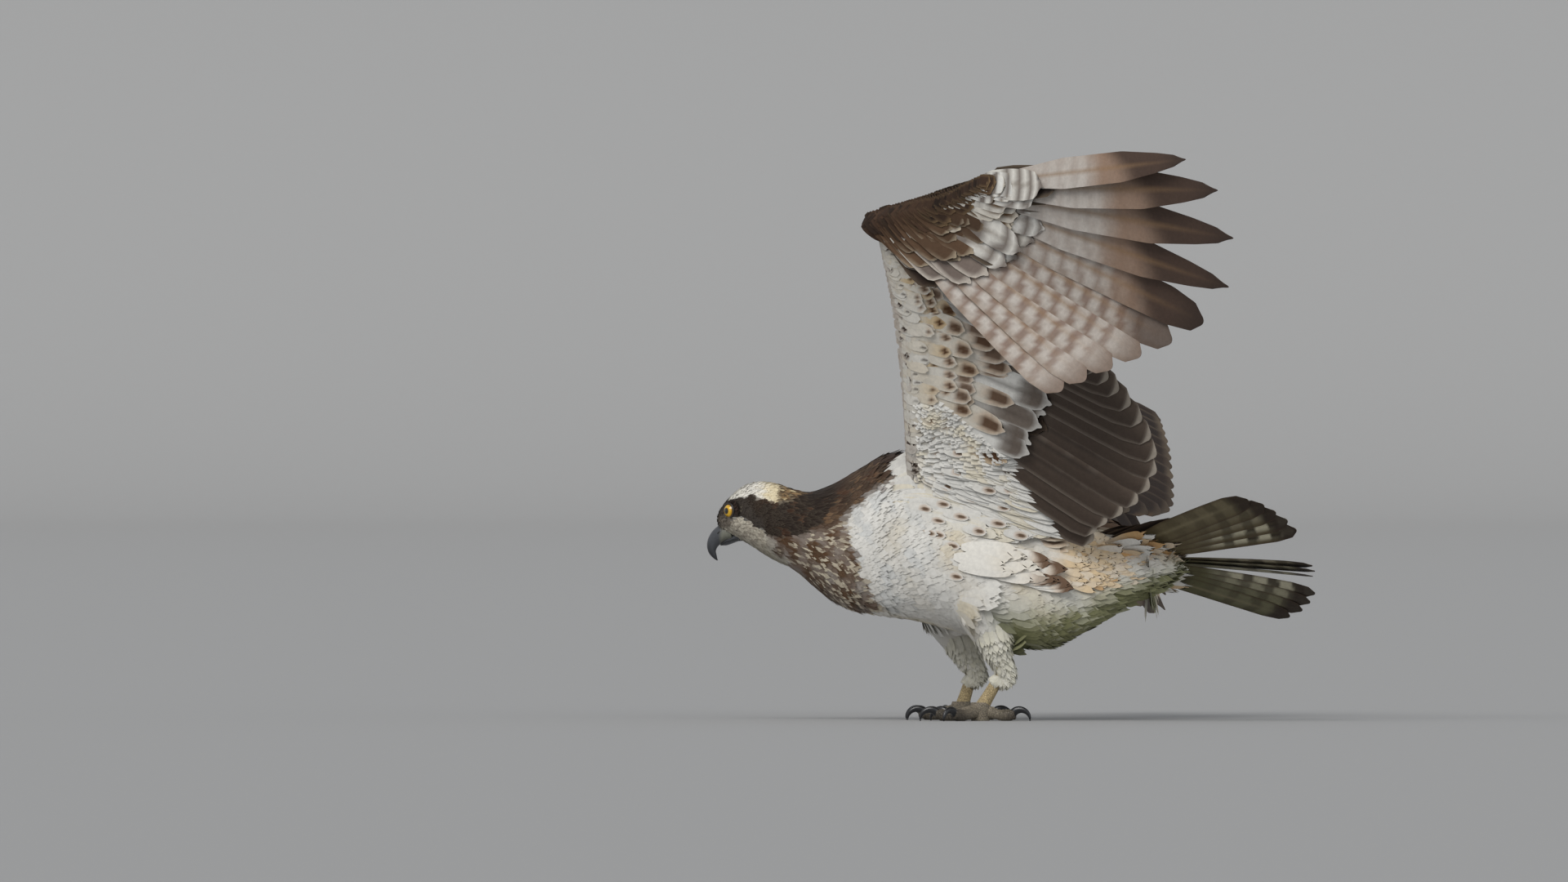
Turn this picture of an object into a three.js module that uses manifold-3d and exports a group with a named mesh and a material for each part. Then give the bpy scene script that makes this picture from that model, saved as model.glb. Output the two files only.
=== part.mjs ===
// A life-size osprey at the moment of take-off, in millimetres, +Z up, bill towards -X, its left side towards -Y.
import * as THREE from "three";
import Module from "manifold-3d";

const wasm = await Module();
wasm.setup();

// Driving sizes and the pose of the whole bird
const YAW = THREE.MathUtils.degToRad(10);
const GAP = 0.3;
const BODY_SIDES = 22;
const VANE_THICK = 0.8;
const TIP_THICK = 0.5;
const SINK = 12;
const EYE_RADIUS = 8.2;

// The body line from the rump to the forehead: x, height, radius up, radius down, half width, roll in degrees
const BODY_STATIONS = [
  [168, 157, 13, 22, 20, 32],
  [150, 158, 21, 38, 27, 31],
  [125, 160, 36, 56, 35, 28],
  [95, 157, 51, 80, 45, 26],
  [60, 157, 65, 93, 56, 25],
  [20, 161, 75, 92, 63, 25],
  [-20, 168, 80, 87, 66, 25],
  [-60, 176, 81, 84, 65, 24],
  [-100, 184, 75, 84, 58, 18],
  [-130, 181, 62, 73, 48, 12],
  [-150, 180, 52, 61, 41, 8],
  [-168, 183, 43, 49, 35, 6],
  [-186, 189, 39.5, 41, 29.5, 4],
  [-200, 194, 38.5, 39, 27.5, 3],
  [-212, 198, 36.5, 36, 26.5, 2],
  [-224, 200.5, 32.5, 30.5, 25, 1],
  [-235, 201, 27, 24.5, 22.5, 0],
  [-246, 199, 19.5, 17.5, 18, 0],
  [-254, 197, 12, 12, 12, 0],
  [-258, 196, 6, 7, 6, 0],
];
const TAIL_START = 128;
const NECK_START = -128;
const HEAD_START = -190;

// Wings: shoulder to wrist as a leading edge and a line of feather roots, then the hand with its ten primaries
const LEFT_WING = {
  side: "left",
  ventralSign: 1,
  leading: [[-68, 0, 226], [-72, -42, 304], [-81, -83, 394], [-95, -114, 464], [-101, -130, 498]],
  roots: [[2, 0, 216], [-24, -63, 280], [0, -110, 346], [-50, -124, 428], [-86, -131, 484]],
  armHalfThickness: [17, 15, 12.5, 10.5, 9.5],
  feathers: [[0.88, -0.1, -0.46], [0.91, -0.2, -0.36], [0.83, -0.22, -0.5]],
  remexLengths: [165, 200, 208, 208, 200],
  wrist: [-98, -139, 495],
  fingertip: [2, -232, 527],
  handTrail: [0.62, -0.3, -0.7],
  primaries: [[0.62, -0.38, -0.69], [0.8, -0.38, -0.46], [0.66, -0.745, 0.08]],
};
const RIGHT_WING = {
  side: "right",
  ventralSign: -1,
  leading: [[-66, 20, 218], [-58, 78, 275], [-50, 160, 312], [-26, 245, 345], [-8, 296, 363]],
  roots: [[2, 20, 206], [6, 78, 252], [44, 134, 265], [34, 225, 314], [16, 292, 353]],
  armHalfThickness: [17, 15, 12.5, 10.5, 9.5],
  feathers: [[0.92, -0.06, -0.37], [0.87, 0.06, -0.48], [0.66, 0.25, -0.71]],
  remexLengths: [110, 165, 180, 190, 195],
  wrist: [-3, 300, 357],
  fingertip: [66, 408, 296],
  handTrail: [0.5, 0.1, -0.86],
  primaries: [[0.42, 0.28, -0.86], [0.46, 0.5, -0.73], [0.36, 0.83, -0.42]],
};
const PRIMARY_LENGTHS = [250, 254, 260, 270, 285, 305, 325, 332, 322, 285];
const PRIMARY_WIDTHS = [34, 34, 34, 34, 34, 33, 32, 30, 27, 22];
const HAND_CHORD = 26;
const HAND_HALF_THICKNESS = [9.5, 4.5];
const ARM_FEATHERS = 12;
const ARM_FEATHER_WIDTH = 39;
const WING_TILT = THREE.MathUtils.degToRad(6);
// Tiers of coverts, one over each flight feather: distance back from its root, length, width, height over it
const ARM_COVERTS = [
  { back: 0.3, length: 98, width: 33, height: 3.4 },
  { back: 0.62, length: 76, width: 33, height: 6.6 },
  { back: 0.3, length: 98, width: 33, height: -3.4 },
];
const HAND_COVERTS = [
  { back: 0.2, length: 80, width: 36, height: 0.6 },
  { back: 0.2, length: 80, width: 36, height: -0.6 },
];

// Tail: twelve feathers in a fan, each with its own angle, twist and length, in three bunches as the wind parts them
const TAIL_ROOT = [134, -24, 158];
const TAIL_PITCH = THREE.MathUtils.degToRad(2);
const TAIL_ROLL = THREE.MathUtils.degToRad(34);
const TAIL_ANGLES = [32, 27.5, 23, 18, 13, -4, -6.5, -9, -17.5, -22, -26.5, -31];
const TAIL_TWISTS = [8, 8, 8, 8, 8, -20, -24, -28, -4, -4, -4, -4];
const TAIL_LENGTHS = [172, 180, 184, 188, 190, 192, 194, 192, 196, 194, 190, 182];
const TAIL_COVERT_ANGLES = [-24, -8, 8, 24];
const TAIL_WIDTH = 33;
const TAIL_FAN_RADIUS = 10;

// Legs: hip, hock and the middle of the foot, with the toes of each foot as angles from the bill's direction
const LEGS = {
  left: { hip: [2, -30, 160], hock: [23, -46, 50], foot: [0, -42, 11], toes: [-14, 14, 60, 176] },
  right: { hip: [-26, 22, 140], hock: [-6, 38, 50], foot: [-18, 40, 11], toes: [14, -14, -60, 184] },
};
const THIGH_RADII = [[12, 10], [36, 28], [36, 28], [27, 22], [17.5, 15], [10.5, 10]];
const TARSUS_RADII = [7.2, 5.8, 6.2, 7.5];
const TOE_LENGTHS = [30, 36, 33, 27];
const TOE_RADIUS = 6;
const CLAW_LENGTH = 27;

// Bill: a hooked upper half and a short lower half, as centre line points in the head's own plane (x, z)
const BILL_LINE = [[-243, 184], [-250, 182.5], [-256.5, 178.5], [-261, 172.5], [-262, 166], [-259.5, 160], [-257.2, 156.5]];
const BILL_RADII = [[10.5, 9.5], [10.2, 8.8], [8.8, 7.2], [6.8, 5.4], [4.6, 3.6], [2.4, 2], [0.5, 0.5]];
const LOWER_BILL_LINE = [[-236, 180], [-243, 176.8], [-249, 173.8], [-253.5, 172]];
const LOWER_BILL_RADII = [[5.6, 7.4], [5, 6.4], [3.8, 4.8], [1.4, 2]];
const EYE_PLACE = [-240.5, 205];
const EYE_SPREAD = 12.6;
const EYE_TURN = 0.85;

const COLOURS = {
  white: 0xd9d9d2, brown: 0x4a3528, mottled: 0x9a8468, bill: 0x3b4046, eye: 0xe0b21c,
  tail: 0x6d6546, claw: 0x222226, skin: 0xa69a80, under: 0xb9b0a2,
};

const vec = (p) => new THREE.Vector3(p[0], p[1], p[2]);
const mix = THREE.MathUtils.lerp;
const forward = vec([-Math.cos(YAW), Math.sin(YAW), 0]);
const leftward = vec([-Math.sin(YAW), -Math.cos(YAW), 0]);
const bodyY = (x) => -x * Math.tan(YAW);

// A smooth value or point at t from 0 to 1 through evenly spaced keys
function keyed(keys, t) {
  const at = THREE.MathUtils.clamp(t, 0, 1) * (keys.length - 1);
  const i = Math.min(Math.floor(at), keys.length - 2);
  const f = at - i;
  const k = [-1, 0, 1, 2].map((o) => keys[THREE.MathUtils.clamp(i + o, 0, keys.length - 1)]);
  const one = (a, b, c, d) =>
    0.5 * (2 * b + (c - a) * f + (2 * a - 5 * b + 4 * c - d) * f * f + (3 * b - a - 3 * c + d) * f ** 3);
  if (typeof k[0] === "number") return one(...k);
  return k[0].map((_, j) => one(...k.map((p) => p[j])));
}

// A closed solid through rings of equal count, each end closed by a fan
function loft(rings) {
  const n = rings[0].length;
  const points = rings.flat();
  const first = rings[0].reduce((a, p) => a.add(p), new THREE.Vector3()).divideScalar(n);
  const last = rings.at(-1).reduce((a, p) => a.add(p), new THREE.Vector3()).divideScalar(n);
  points.push(first, last);
  const index = [];
  for (let r = 0; r < rings.length - 1; r++)
    for (let i = 0; i < n; i++) {
      const j = (i + 1) % n;
      const [a, b, c, d] = [r * n + i, r * n + j, (r + 1) * n + j, (r + 1) * n + i];
      index.push(a, b, c, a, c, d);
    }
  const end = (rings.length - 1) * n;
  for (let i = 0; i < n; i++) {
    const j = (i + 1) % n;
    index.push(points.length - 2, j, i, points.length - 1, end + i, end + j);
  }
  return solid(points, index);
}

// A closed solid from points and triangles, turned to face outwards
function solid(points, index) {
  const vertProperties = new Float32Array(points.flatMap((p) => [p.x, p.y, p.z]));
  const build = (tri) =>
    new wasm.Manifold(new wasm.Mesh({ numProp: 3, vertProperties, triVerts: new Uint32Array(tri) }));
  const made = build(index);
  if (made.volume() > 0) return made;
  const turned = [];
  for (let i = 0; i < index.length; i += 3) turned.push(index[i], index[i + 2], index[i + 1]);
  return build(turned);
}

function ellipse(centre, across, up, wide, high, low, sides) {
  return Array.from({ length: sides }, (_, i) => {
    const a = (2 * Math.PI * i) / sides;
    const rise = Math.sin(a) * (Math.sin(a) > 0 ? high : low);
    return centre.clone().addScaledVector(across, Math.cos(a) * wide).addScaledVector(up, rise);
  });
}

// A tube of oval sections along points, with a radius up and a radius across at each
function tube(points, radii, upHint, sides = 10, grow = 0) {
  const last = points.length - 1;
  return loft(
    points.map((p, i) => {
      const along = points[Math.min(i + 1, last)].clone().sub(points[Math.max(i - 1, 0)]).normalize();
      const end = i === 0 ? -grow : i === last ? grow : 0;
      const across = upHint.clone().cross(along).normalize();
      const up = along.clone().cross(across);
      const [high, wide] = radii[i];
      return ellipse(p.clone().addScaledVector(along, end), across, up, wide + grow, high + grow, high + grow, sides);
    }),
  );
}

const union = (solids) => wasm.Manifold.union(solids);
const largest = (made) => made.decompose().reduce((a, b) => (b.volume() > a.volume() ? b : a));

// The trunk, neck and head are stretches of one lofted line
function bodyRing(x, grow) {
  const xs = BODY_STATIONS.map((s) => s[0]);
  const i = Math.max(0, Math.min(xs.length - 2, xs.findIndex((s) => s <= x) - 1));
  const t = (i + (x - xs[i]) / (xs[i + 1] - xs[i])) / (xs.length - 1);
  const [, z, high, low, wide, roll] = keyed(BODY_STATIONS, t);
  const a = THREE.MathUtils.degToRad(roll);
  const across = leftward.clone().multiplyScalar(Math.cos(a)).add(vec([0, 0, Math.sin(a)]));
  const up = forward.clone().cross(leftward).multiplyScalar(Math.cos(a)).addScaledVector(leftward, -Math.sin(a));
  return ellipse(vec([x, bodyY(x), z]), across, up, wide + grow, high + grow, low + grow, BODY_SIDES);
}

function bodyStretch(from, to, steps, grow = 0) {
  const sign = Math.sign(to - from);
  return loft(
    Array.from({ length: steps + 1 }, (_, i) => bodyRing(mix(from - sign * grow, to + sign * grow, i / steps), grow)),
  );
}

// One feather vane: a thin tapered plate from its root along a line, tilted and curved, with a round or narrow tip
const ROUND_TIP = [[0, 0.35], [0.3, 0.9], [0.84, 1], [1, 0.36]];
const FINGER_TIP = [[0, 0.35], [0.5, 1], [0.66, 0.66], [0.92, 0.46], [1, 0.14]];
const COVERT_TIP = [[0, 0.6], [0.72, 1], [1, 0.34]];

function vane({ root, along, face, length, width, tilt = 0, lift = 0, curl = 0, outline = ROUND_TIP, grow = 0 }) {
  const flat = face.clone().addScaledVector(along, -face.dot(along)).normalize();
  const across = flat.clone().cross(along).normalize();
  const tilted = across.clone().multiplyScalar(Math.cos(tilt)).addScaledVector(flat, -Math.sin(tilt));
  const normal = along.clone().cross(tilted).normalize();
  const rings = outline.map(([t, w]) => {
    const centre = root
      .clone()
      .addScaledVector(along, length * t + (t === 1 ? grow : 0))
      .addScaledVector(flat, lift * t + curl * t * t);
    const half = (width * w) / 2 + grow;
    const thick = mix(VANE_THICK, TIP_THICK, t) / 2 + grow;
    return [[-1, -1], [1, -1], [1, 1], [-1, 1]].map(([s, h]) =>
      centre.clone().addScaledVector(tilted, s * half).addScaledVector(normal, h * thick),
    );
  });
  return plate(rings);
}

// Four-cornered rings joined with the same diagonals on both faces
function plate(rings) {
  const points = rings.flat();
  const index = [];
  for (let r = 0; r < rings.length - 1; r++) {
    const [a, b] = [4 * r, 4 * r + 4];
    index.push(a, a + 1, b + 1, a, b + 1, b);
    index.push(a + 3, b + 2, a + 2, a + 3, b + 3, b + 2);
    index.push(a + 1, a + 2, b + 2, a + 1, b + 2, b + 1);
    index.push(a + 3, a, b, a + 3, b, b + 3);
  }
  const e = points.length - 4;
  index.push(0, 2, 1, 0, 3, 2, e, e + 1, e + 2, e, e + 2, e + 3);
  return solid(points, index);
}

// The arm's flat surface at u from the body to the wrist, with the normal of its underside
function armFrame(wing, u) {
  const lead = vec(keyed(wing.leading, u));
  const root = vec(keyed(wing.roots, u));
  const chord = root.clone().sub(lead);
  const middle = vec(wing.roots[2]).sub(vec(wing.leading[2]));
  const span = vec(wing.roots[4]).sub(vec(wing.roots[1]));
  const under = middle.cross(span).normalize().multiplyScalar(wing.ventralSign);
  const along = vec(keyed(wing.feathers, THREE.MathUtils.clamp((u - 0.25) / 0.75, 0, 1)));
  along.addScaledVector(under, -along.dot(under)).normalize();
  return { lead, root, chord, under, along, half: keyed(wing.armHalfThickness, u) };
}

// Half thickness of a wing section, as a share, at a place across its chord
const SECTION = [[0, 0], [0.06, 0.62], [0.25, 1], [0.6, 0.84], [1, 0.36]];
function wingSection(lead, chord, under, half, grow) {
  const way = chord.clone().normalize();
  const at = (c, h) => {
    const reach = c === 0 ? -grow : c === 1 ? grow : 0;
    return lead.clone().addScaledVector(chord, c).addScaledVector(way, reach).addScaledVector(under, h);
  };
  const one = SECTION.slice(1).map(([c, s]) => at(c, s * half + grow));
  const other = SECTION.slice(1).map(([c, s]) => at(c, -s * half - grow)).reverse();
  return [at(0, 0), ...one, ...other];
}

function armCore(wing, grow = 0) {
  const rings = Array.from({ length: 11 }, (_, i) => {
    const f = armFrame(wing, i / 10);
    return wingSection(f.lead, f.chord.multiplyScalar(1.04), f.under, f.half, grow);
  });
  return loft(rings);
}

// The arm's core with its flight feathers and, on both faces, tiers of coverts over their roots
function arm(wing, grow = 0) {
  const pieces = [armCore(wing, grow)];
  for (let i = 0; i < ARM_FEATHERS; i++) {
    const share = i / (ARM_FEATHERS - 1);
    const f = armFrame(wing, mix(0.3, 0.97, share));
    const like = { along: f.along, face: f.under, tilt: WING_TILT * wing.ventralSign, grow };
    const root = f.root.clone().addScaledVector(f.along, -SINK);
    const length = keyed(wing.remexLengths, share) + SINK;
    pieces.push(vane({ ...like, root, length, width: ARM_FEATHER_WIDTH }));
    for (const row of ARM_COVERTS) {
      const start = f.root
        .clone()
        .addScaledVector(f.along, -row.back * f.chord.length())
        .addScaledVector(f.under, row.height);
      pieces.push(vane({ ...like, root: start, length: row.length, width: row.width, outline: COVERT_TIP }));
    }
  }
  return union(pieces);
}

// The hand at t from the wrist to the last finger bone
function handFrame(wing, t) {
  const lead = vec(wing.wrist).lerp(vec(wing.fingertip), t);
  const along = vec(keyed(wing.primaries, t)).normalize();
  const chord = vec(wing.handTrail).normalize().lerp(along, t * 0.6).normalize().multiplyScalar(mix(HAND_CHORD, 12, t));
  const span = vec(wing.fingertip).sub(vec(wing.wrist));
  const low = vec(keyed(wing.primaries, Math.max(0, t - 0.1)));
  const high = vec(keyed(wing.primaries, Math.min(1, t + 0.1)));
  const turn = along.clone().cross(high.sub(low)).normalize().multiplyScalar(wing.ventralSign);
  const flat = along.clone().cross(span).normalize().multiplyScalar(wing.ventralSign);
  const under = turn.lerp(flat, 0.5).normalize();
  return { lead, along, chord, under, half: mix(...HAND_HALF_THICKNESS, t) };
}

function handCore(wing, grow) {
  const rings = [-0.06 - grow * 0.01, 0.12, 0.35, 0.6, 0.82, 1.03].map((t) => {
    const f = handFrame(wing, t);
    return wingSection(f.lead, f.chord, f.under, f.half, grow);
  });
  return loft(rings);
}

// The hand's core with ten primaries and, on both faces, coverts over their roots
function hand(wing, grow = 0) {
  const pieces = [handCore(wing, grow)];
  PRIMARY_LENGTHS.forEach((length, i) => {
    const t = mix(0.08, 0.98, i / (PRIMARY_LENGTHS.length - 1));
    const f = handFrame(wing, t);
    const like = { along: f.along, face: f.under, tilt: WING_TILT * wing.ventralSign, grow };
    const root = f.lead.clone().addScaledVector(f.chord, 0.45);
    const outline = i > 5 ? FINGER_TIP : ROUND_TIP;
    pieces.push(vane({ ...like, root, length, width: PRIMARY_WIDTHS[i], outline }));
    if (i % 2 === 0 && i < 9)
      for (const row of HAND_COVERTS) {
        const start = root.clone().addScaledVector(f.along, -row.back * HAND_CHORD).addScaledVector(f.under, row.height * f.half);
        pieces.push(vane({ ...like, root: start, length: row.length, width: row.width, outline: COVERT_TIP }));
      }
  });
  return union(pieces);
}

function tail() {
  const fore = vec([Math.cos(YAW) * Math.cos(TAIL_PITCH), -Math.sin(YAW) * Math.cos(TAIL_PITCH), Math.sin(TAIL_PITCH)]);
  const side = leftward.clone().multiplyScalar(Math.cos(TAIL_ROLL)).add(vec([0, 0, Math.sin(TAIL_ROLL)])).normalize();
  side.addScaledVector(fore, -side.dot(fore)).normalize();
  const under = fore.clone().cross(side).normalize();
  const core = bodyStretch(TAIL_START, 168, 5);
  const fan = (degrees) => {
    const a = THREE.MathUtils.degToRad(degrees);
    return fore.clone().multiplyScalar(Math.cos(a)).addScaledVector(side, Math.sin(a));
  };
  const pieces = [core];
  TAIL_ANGLES.forEach((angle, i) => {
    pieces.push(
      vane({
        root: vec(TAIL_ROOT).addScaledVector(side, (TAIL_FAN_RADIUS * angle) / 30),
        along: fan(angle),
        face: under,
        length: TAIL_LENGTHS[i],
        width: TAIL_WIDTH,
        tilt: THREE.MathUtils.degToRad(TAIL_TWISTS[i]),
        curl: 5,
      }),
    );
  });
  for (const face of [1, -1])
    TAIL_COVERT_ANGLES.forEach((angle) =>
      pieces.push(
        vane({
          root: vec(TAIL_ROOT).addScaledVector(under, face * 6).addScaledVector(side, (TAIL_FAN_RADIUS * angle) / 24),
          along: fan(angle),
          face: under,
          length: 78,
          width: 28,
          tilt: WING_TILT,
          lift: face * 1,
          outline: COVERT_TIP,
        }),
      ),
    );
  return union(pieces);
}

// A toe or claw along an arc in an upright plane, from its root outwards
function arcTube(root, heading, from, turn, length, radii, sides) {
  const points = [root.clone()];
  const steps = radii.length - 1;
  for (let i = 0; i < steps; i++) {
    const a = from + (turn * (i + 0.5)) / steps;
    const way = heading.clone().multiplyScalar(Math.cos(a)).add(vec([0, 0, Math.sin(a)]));
    points.push(points.at(-1).clone().addScaledVector(way, length / steps));
  }
  return tube(points, radii, vec([0, 0, 1]), sides);
}

const toeHeading = (degrees) => forward.clone().applyAxisAngle(vec([0, 0, 1]), THREE.MathUtils.degToRad(degrees));
const floorCut = (made) => made.trimByPlane([0, 0, 1], 0);

// The ball of the foot with its ankle, and four toes with pads under their joints
function ankle(leg, grow = 0) {
  const centre = vec(leg.foot);
  const up = (z) => centre.clone().add(vec([0, 0, z]));
  return tube([up(7), centre, up(-11)], [[9, 9], [10.5, 10.5], [9, 9]], vec([1, 0, 0]), 12, grow);
}

function foot(leg, grow = 0) {
  const pieces = [ankle(leg, grow)];
  leg.toes.forEach((degrees, i) => {
    const r = TOE_RADIUS;
    const radii = [[r, r], [r, r * 0.9], [r * 0.85, r * 0.8], [r, r * 0.9], [r * 0.8, r * 0.75]];
    const points = radii.map((_, k) => {
      const out = (TOE_LENGTHS[i] + 8) * (k / (radii.length - 1));
      return vec(leg.foot).addScaledVector(toeHeading(degrees), out).setZ([8, 8.6, 6.2, 5.4, 6.6][k]);
    });
    pieces.push(tube(points, radii, vec([0, 0, 1]), 8, grow));
  });
  return floorCut(union(pieces));
}

// The curved claw, rooted in the end of its toe and standing on its tip
function claw(leg, i) {
  const heading = toeHeading(leg.toes[i]);
  const root = vec(leg.foot).setZ(6.8).addScaledVector(heading, TOE_LENGTHS[i] + 5);
  const radii = [[4.2, 3.6], [3.9, 3.2], [3.2, 2.6], [2.4, 2], [1.5, 1.3], [0.4, 0.4]];
  const made = arcTube(root, heading, 0.95, -2.75, CLAW_LENGTH, radii, 7);
  return floorCut(largest(made.subtract(foot(leg, GAP))));
}

function thighTube(leg, grow = 0) {
  const [hip, hock] = [vec(leg.hip), vec(leg.hock)];
  const bow = vec([-7, Math.sign(hock.y) * 9, 0]);
  const points = THIGH_RADII.map((_, i) => {
    const t = i / (THIGH_RADII.length - 1);
    return hip.clone().lerp(hock, t).addScaledVector(bow, Math.sin(Math.PI * t));
  });
  return tube(points, THIGH_RADII, vec([1, 0, 0]), 16, grow);
}

function tarsus(leg) {
  const [hock, centre] = [vec(leg.hock), vec(leg.foot)];
  const way = centre.clone().sub(hock).normalize();
  const from = hock.clone().addScaledVector(way, -5);
  const ends = [0, 0.35, 0.7, 1];
  const points = ends.map((t) => from.clone().lerp(centre.clone().addScaledVector(way, 2), t));
  return tube(points, TARSUS_RADII.map((r) => [r, r]), vec([1, 0, 0]), 12);
}

// The head keeps its sockets clear of the eyes, and carries a brow over each and a ring of lid round it
function eyeCentre(side, out = 0) {
  const [x, z] = EYE_PLACE;
  return vec([x, bodyY(x), z]).addScaledVector(leftward, side * (EYE_SPREAD + out)).addScaledVector(forward, out * EYE_TURN);
}

function ball(centre, radius, sides = 16) {
  const g = new THREE.SphereGeometry(radius, sides, sides / 2);
  return fromGeometry(g.translate(centre.x, centre.y, centre.z));
}

// Merges a geometry's shared corners and makes it a solid
function fromGeometry(geometry) {
  const p = geometry.getAttribute("position");
  const points = [];
  const known = new Map();
  const place = [];
  for (let i = 0; i < p.count; i++) {
    const key = [p.getX(i), p.getY(i), p.getZ(i)].map((v) => Math.round(v * 1e3)).join();
    if (!known.has(key)) {
      known.set(key, points.length);
      points.push(new THREE.Vector3().fromBufferAttribute(p, i));
    }
    place.push(known.get(key));
  }
  const index = [];
  const source = geometry.index ? [...geometry.index.array] : place.map((_, i) => i);
  for (let i = 0; i < source.length; i += 3) {
    const [a, b, c] = [0, 1, 2].map((k) => place[source[i + k]]);
    if (a !== b && b !== c && a !== c) index.push(a, b, c);
  }
  return solid(points, index);
}

function head(billUpper, billLower) {
  let made = bodyStretch(HEAD_START - GAP, -257, 11);
  for (const side of [1, -1]) {
    const centre = eyeCentre(side);
    const out = leftward.clone().multiplyScalar(side).addScaledVector(forward, EYE_TURN).normalize();
    const lid = new THREE.TorusGeometry(8.1, 1.5, 5, 14);
    lid.applyQuaternion(new THREE.Quaternion().setFromUnitVectors(vec([0, 0, 1]), out));
    const rim = centre.clone().addScaledVector(out, 4.4);
    const brow = [-7, -2, 4, 11, 18].map((k) =>
      centre.clone().addScaledVector(forward, -k).addScaledVector(out, 3.6 - 0.014 * k * k).add(vec([0, 0, 9 - k * 0.02])),
    );
    made = made
      .add(fromGeometry(lid.translate(rim.x, rim.y, rim.z)))
      .add(tube(brow, [[1.4, 1.6], [2.4, 3.2], [2.4, 3.4], [2, 3], [1, 1.4]], vec([0, 0, 1]), 6))
      .subtract(ball(centre, EYE_RADIUS + GAP));
  }
  return largest(made.subtract(billUpper).subtract(billLower));
}

// A bill half along its line in the head's upright plane, its sections across that line
function billTube(line, radii, grow) {
  const points = line.map(([x, z]) => vec([x, bodyY(x), z]));
  const last = points.length - 1;
  return loft(
    points.map((p, i) => {
      const along = points[Math.min(i + 1, last)].clone().sub(points[Math.max(i - 1, 0)]).normalize();
      const end = i === 0 ? -grow : i === last ? grow : 0;
      const [high, wide] = radii[i];
      const centre = p.clone().addScaledVector(along, end);
      return ellipse(centre, leftward, along.clone().cross(leftward), wide + grow, high + grow, high * 0.74 + grow, 14);
    }),
  );
}

// The upper bill with its nostril slits
function upperBill() {
  let made = billTube(BILL_LINE, BILL_RADII, 0);
  for (const side of [1, -1]) {
    const slit = new THREE.SphereGeometry(1, 10, 6);
    slit.scale(2.6, 2.2, 0.9).rotateY(0.7).rotateZ(-YAW);
    const x = -254;
    const at = vec([x, bodyY(x), 184.5]).addScaledVector(leftward, side * 8.2);
    made = made.subtract(fromGeometry(slit.translate(at.x, at.y, at.z)));
  }
  return made;
}

const osprey = new THREE.Group();

function add(name, made, colour, roughness) {
  const m = made.getMesh();
  const g = new THREE.BufferGeometry();
  const position = new Float32Array(m.numVert * 3);
  for (let i = 0; i < m.numVert; i++)
    position.set(m.vertProperties.subarray(i * m.numProp, i * m.numProp + 3), i * 3);
  g.setAttribute("position", new THREE.BufferAttribute(position, 3));
  g.setIndex(new THREE.BufferAttribute(m.triVerts, 1));
  g.computeVertexNormals();
  const mesh = new THREE.Mesh(g, new THREE.MeshStandardMaterial({ color: colour, roughness, metalness: 0 }));
  mesh.name = name;
  osprey.add(mesh);
  return made;
}

// Head and bill
const billUpper = add("bill_upper", upperBill(), COLOURS.bill, 0.35);
const billLower = add(
  "bill_lower",
  largest(billTube(LOWER_BILL_LINE, LOWER_BILL_RADII, 0).subtract(billTube(BILL_LINE, BILL_RADII, GAP))),
  COLOURS.bill,
  0.4,
);
const billRoom = billTube(BILL_LINE, BILL_RADII, GAP);
const lowerRoom = billTube(LOWER_BILL_LINE, LOWER_BILL_RADII, GAP);
add("head", head(billRoom, lowerRoom), COLOURS.brown, 0.8);
for (const [name, side] of [["left", 1], ["right", -1]])
  add("eye_" + name, ball(eyeCentre(side), EYE_RADIUS), COLOURS.eye, 0.1);

// Trunk, neck and tail
const torso = bodyStretch(TAIL_START - GAP, NECK_START, 15);
const neck = bodyStretch(NECK_START - GAP, HEAD_START, 6);
add("torso", torso, COLOURS.white, 0.9);
add("neck", neck, COLOURS.mottled, 0.9);
const torsoRoom = bodyStretch(TAIL_START - GAP, NECK_START, 15, GAP);
const rumpRoom = bodyStretch(TAIL_START, 168, 5, GAP);
add("tail", largest(tail().subtract(torsoRoom)), COLOURS.tail, 0.7);

// Wings
for (const wing of [LEFT_WING, RIGHT_WING]) {
  const handMade = largest(hand(wing).subtract(torsoRoom));
  const armMade = largest(arm(wing).subtract(torsoRoom).subtract(rumpRoom).subtract(hand(wing, GAP)));
  add("wing_" + wing.side + "_arm", armMade, COLOURS.under, 0.8);
  add("wing_" + wing.side + "_hand", handMade, COLOURS.brown, 0.8);
}

// Legs and feet
for (const [name, leg] of Object.entries(LEGS)) {
  add("thigh_" + name, largest(thighTube(leg).subtract(torsoRoom)), COLOURS.white, 0.9);
  const shank = tarsus(leg).subtract(thighTube(leg, GAP)).subtract(ankle(leg, GAP));
  add("tarsus_" + name, largest(shank), COLOURS.skin, 0.6);
  add("foot_" + name, foot(leg), COLOURS.skin, 0.6);
  leg.toes.forEach((_, i) => add(`claw_${name}_${i + 1}`, claw(leg, i), COLOURS.claw, 0.3));
}

// The origin is under the middle of the bird, at floor level
const box = new THREE.Box3().setFromObject(osprey);
const middle = box.getCenter(new THREE.Vector3());
osprey.position.set(-middle.x, -middle.y, -box.min.z);

export default osprey;
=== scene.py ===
import math

import bpy
import numpy as np
from mathutils import Matrix, Vector
from mathutils.bvhtree import BVHTree


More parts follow.
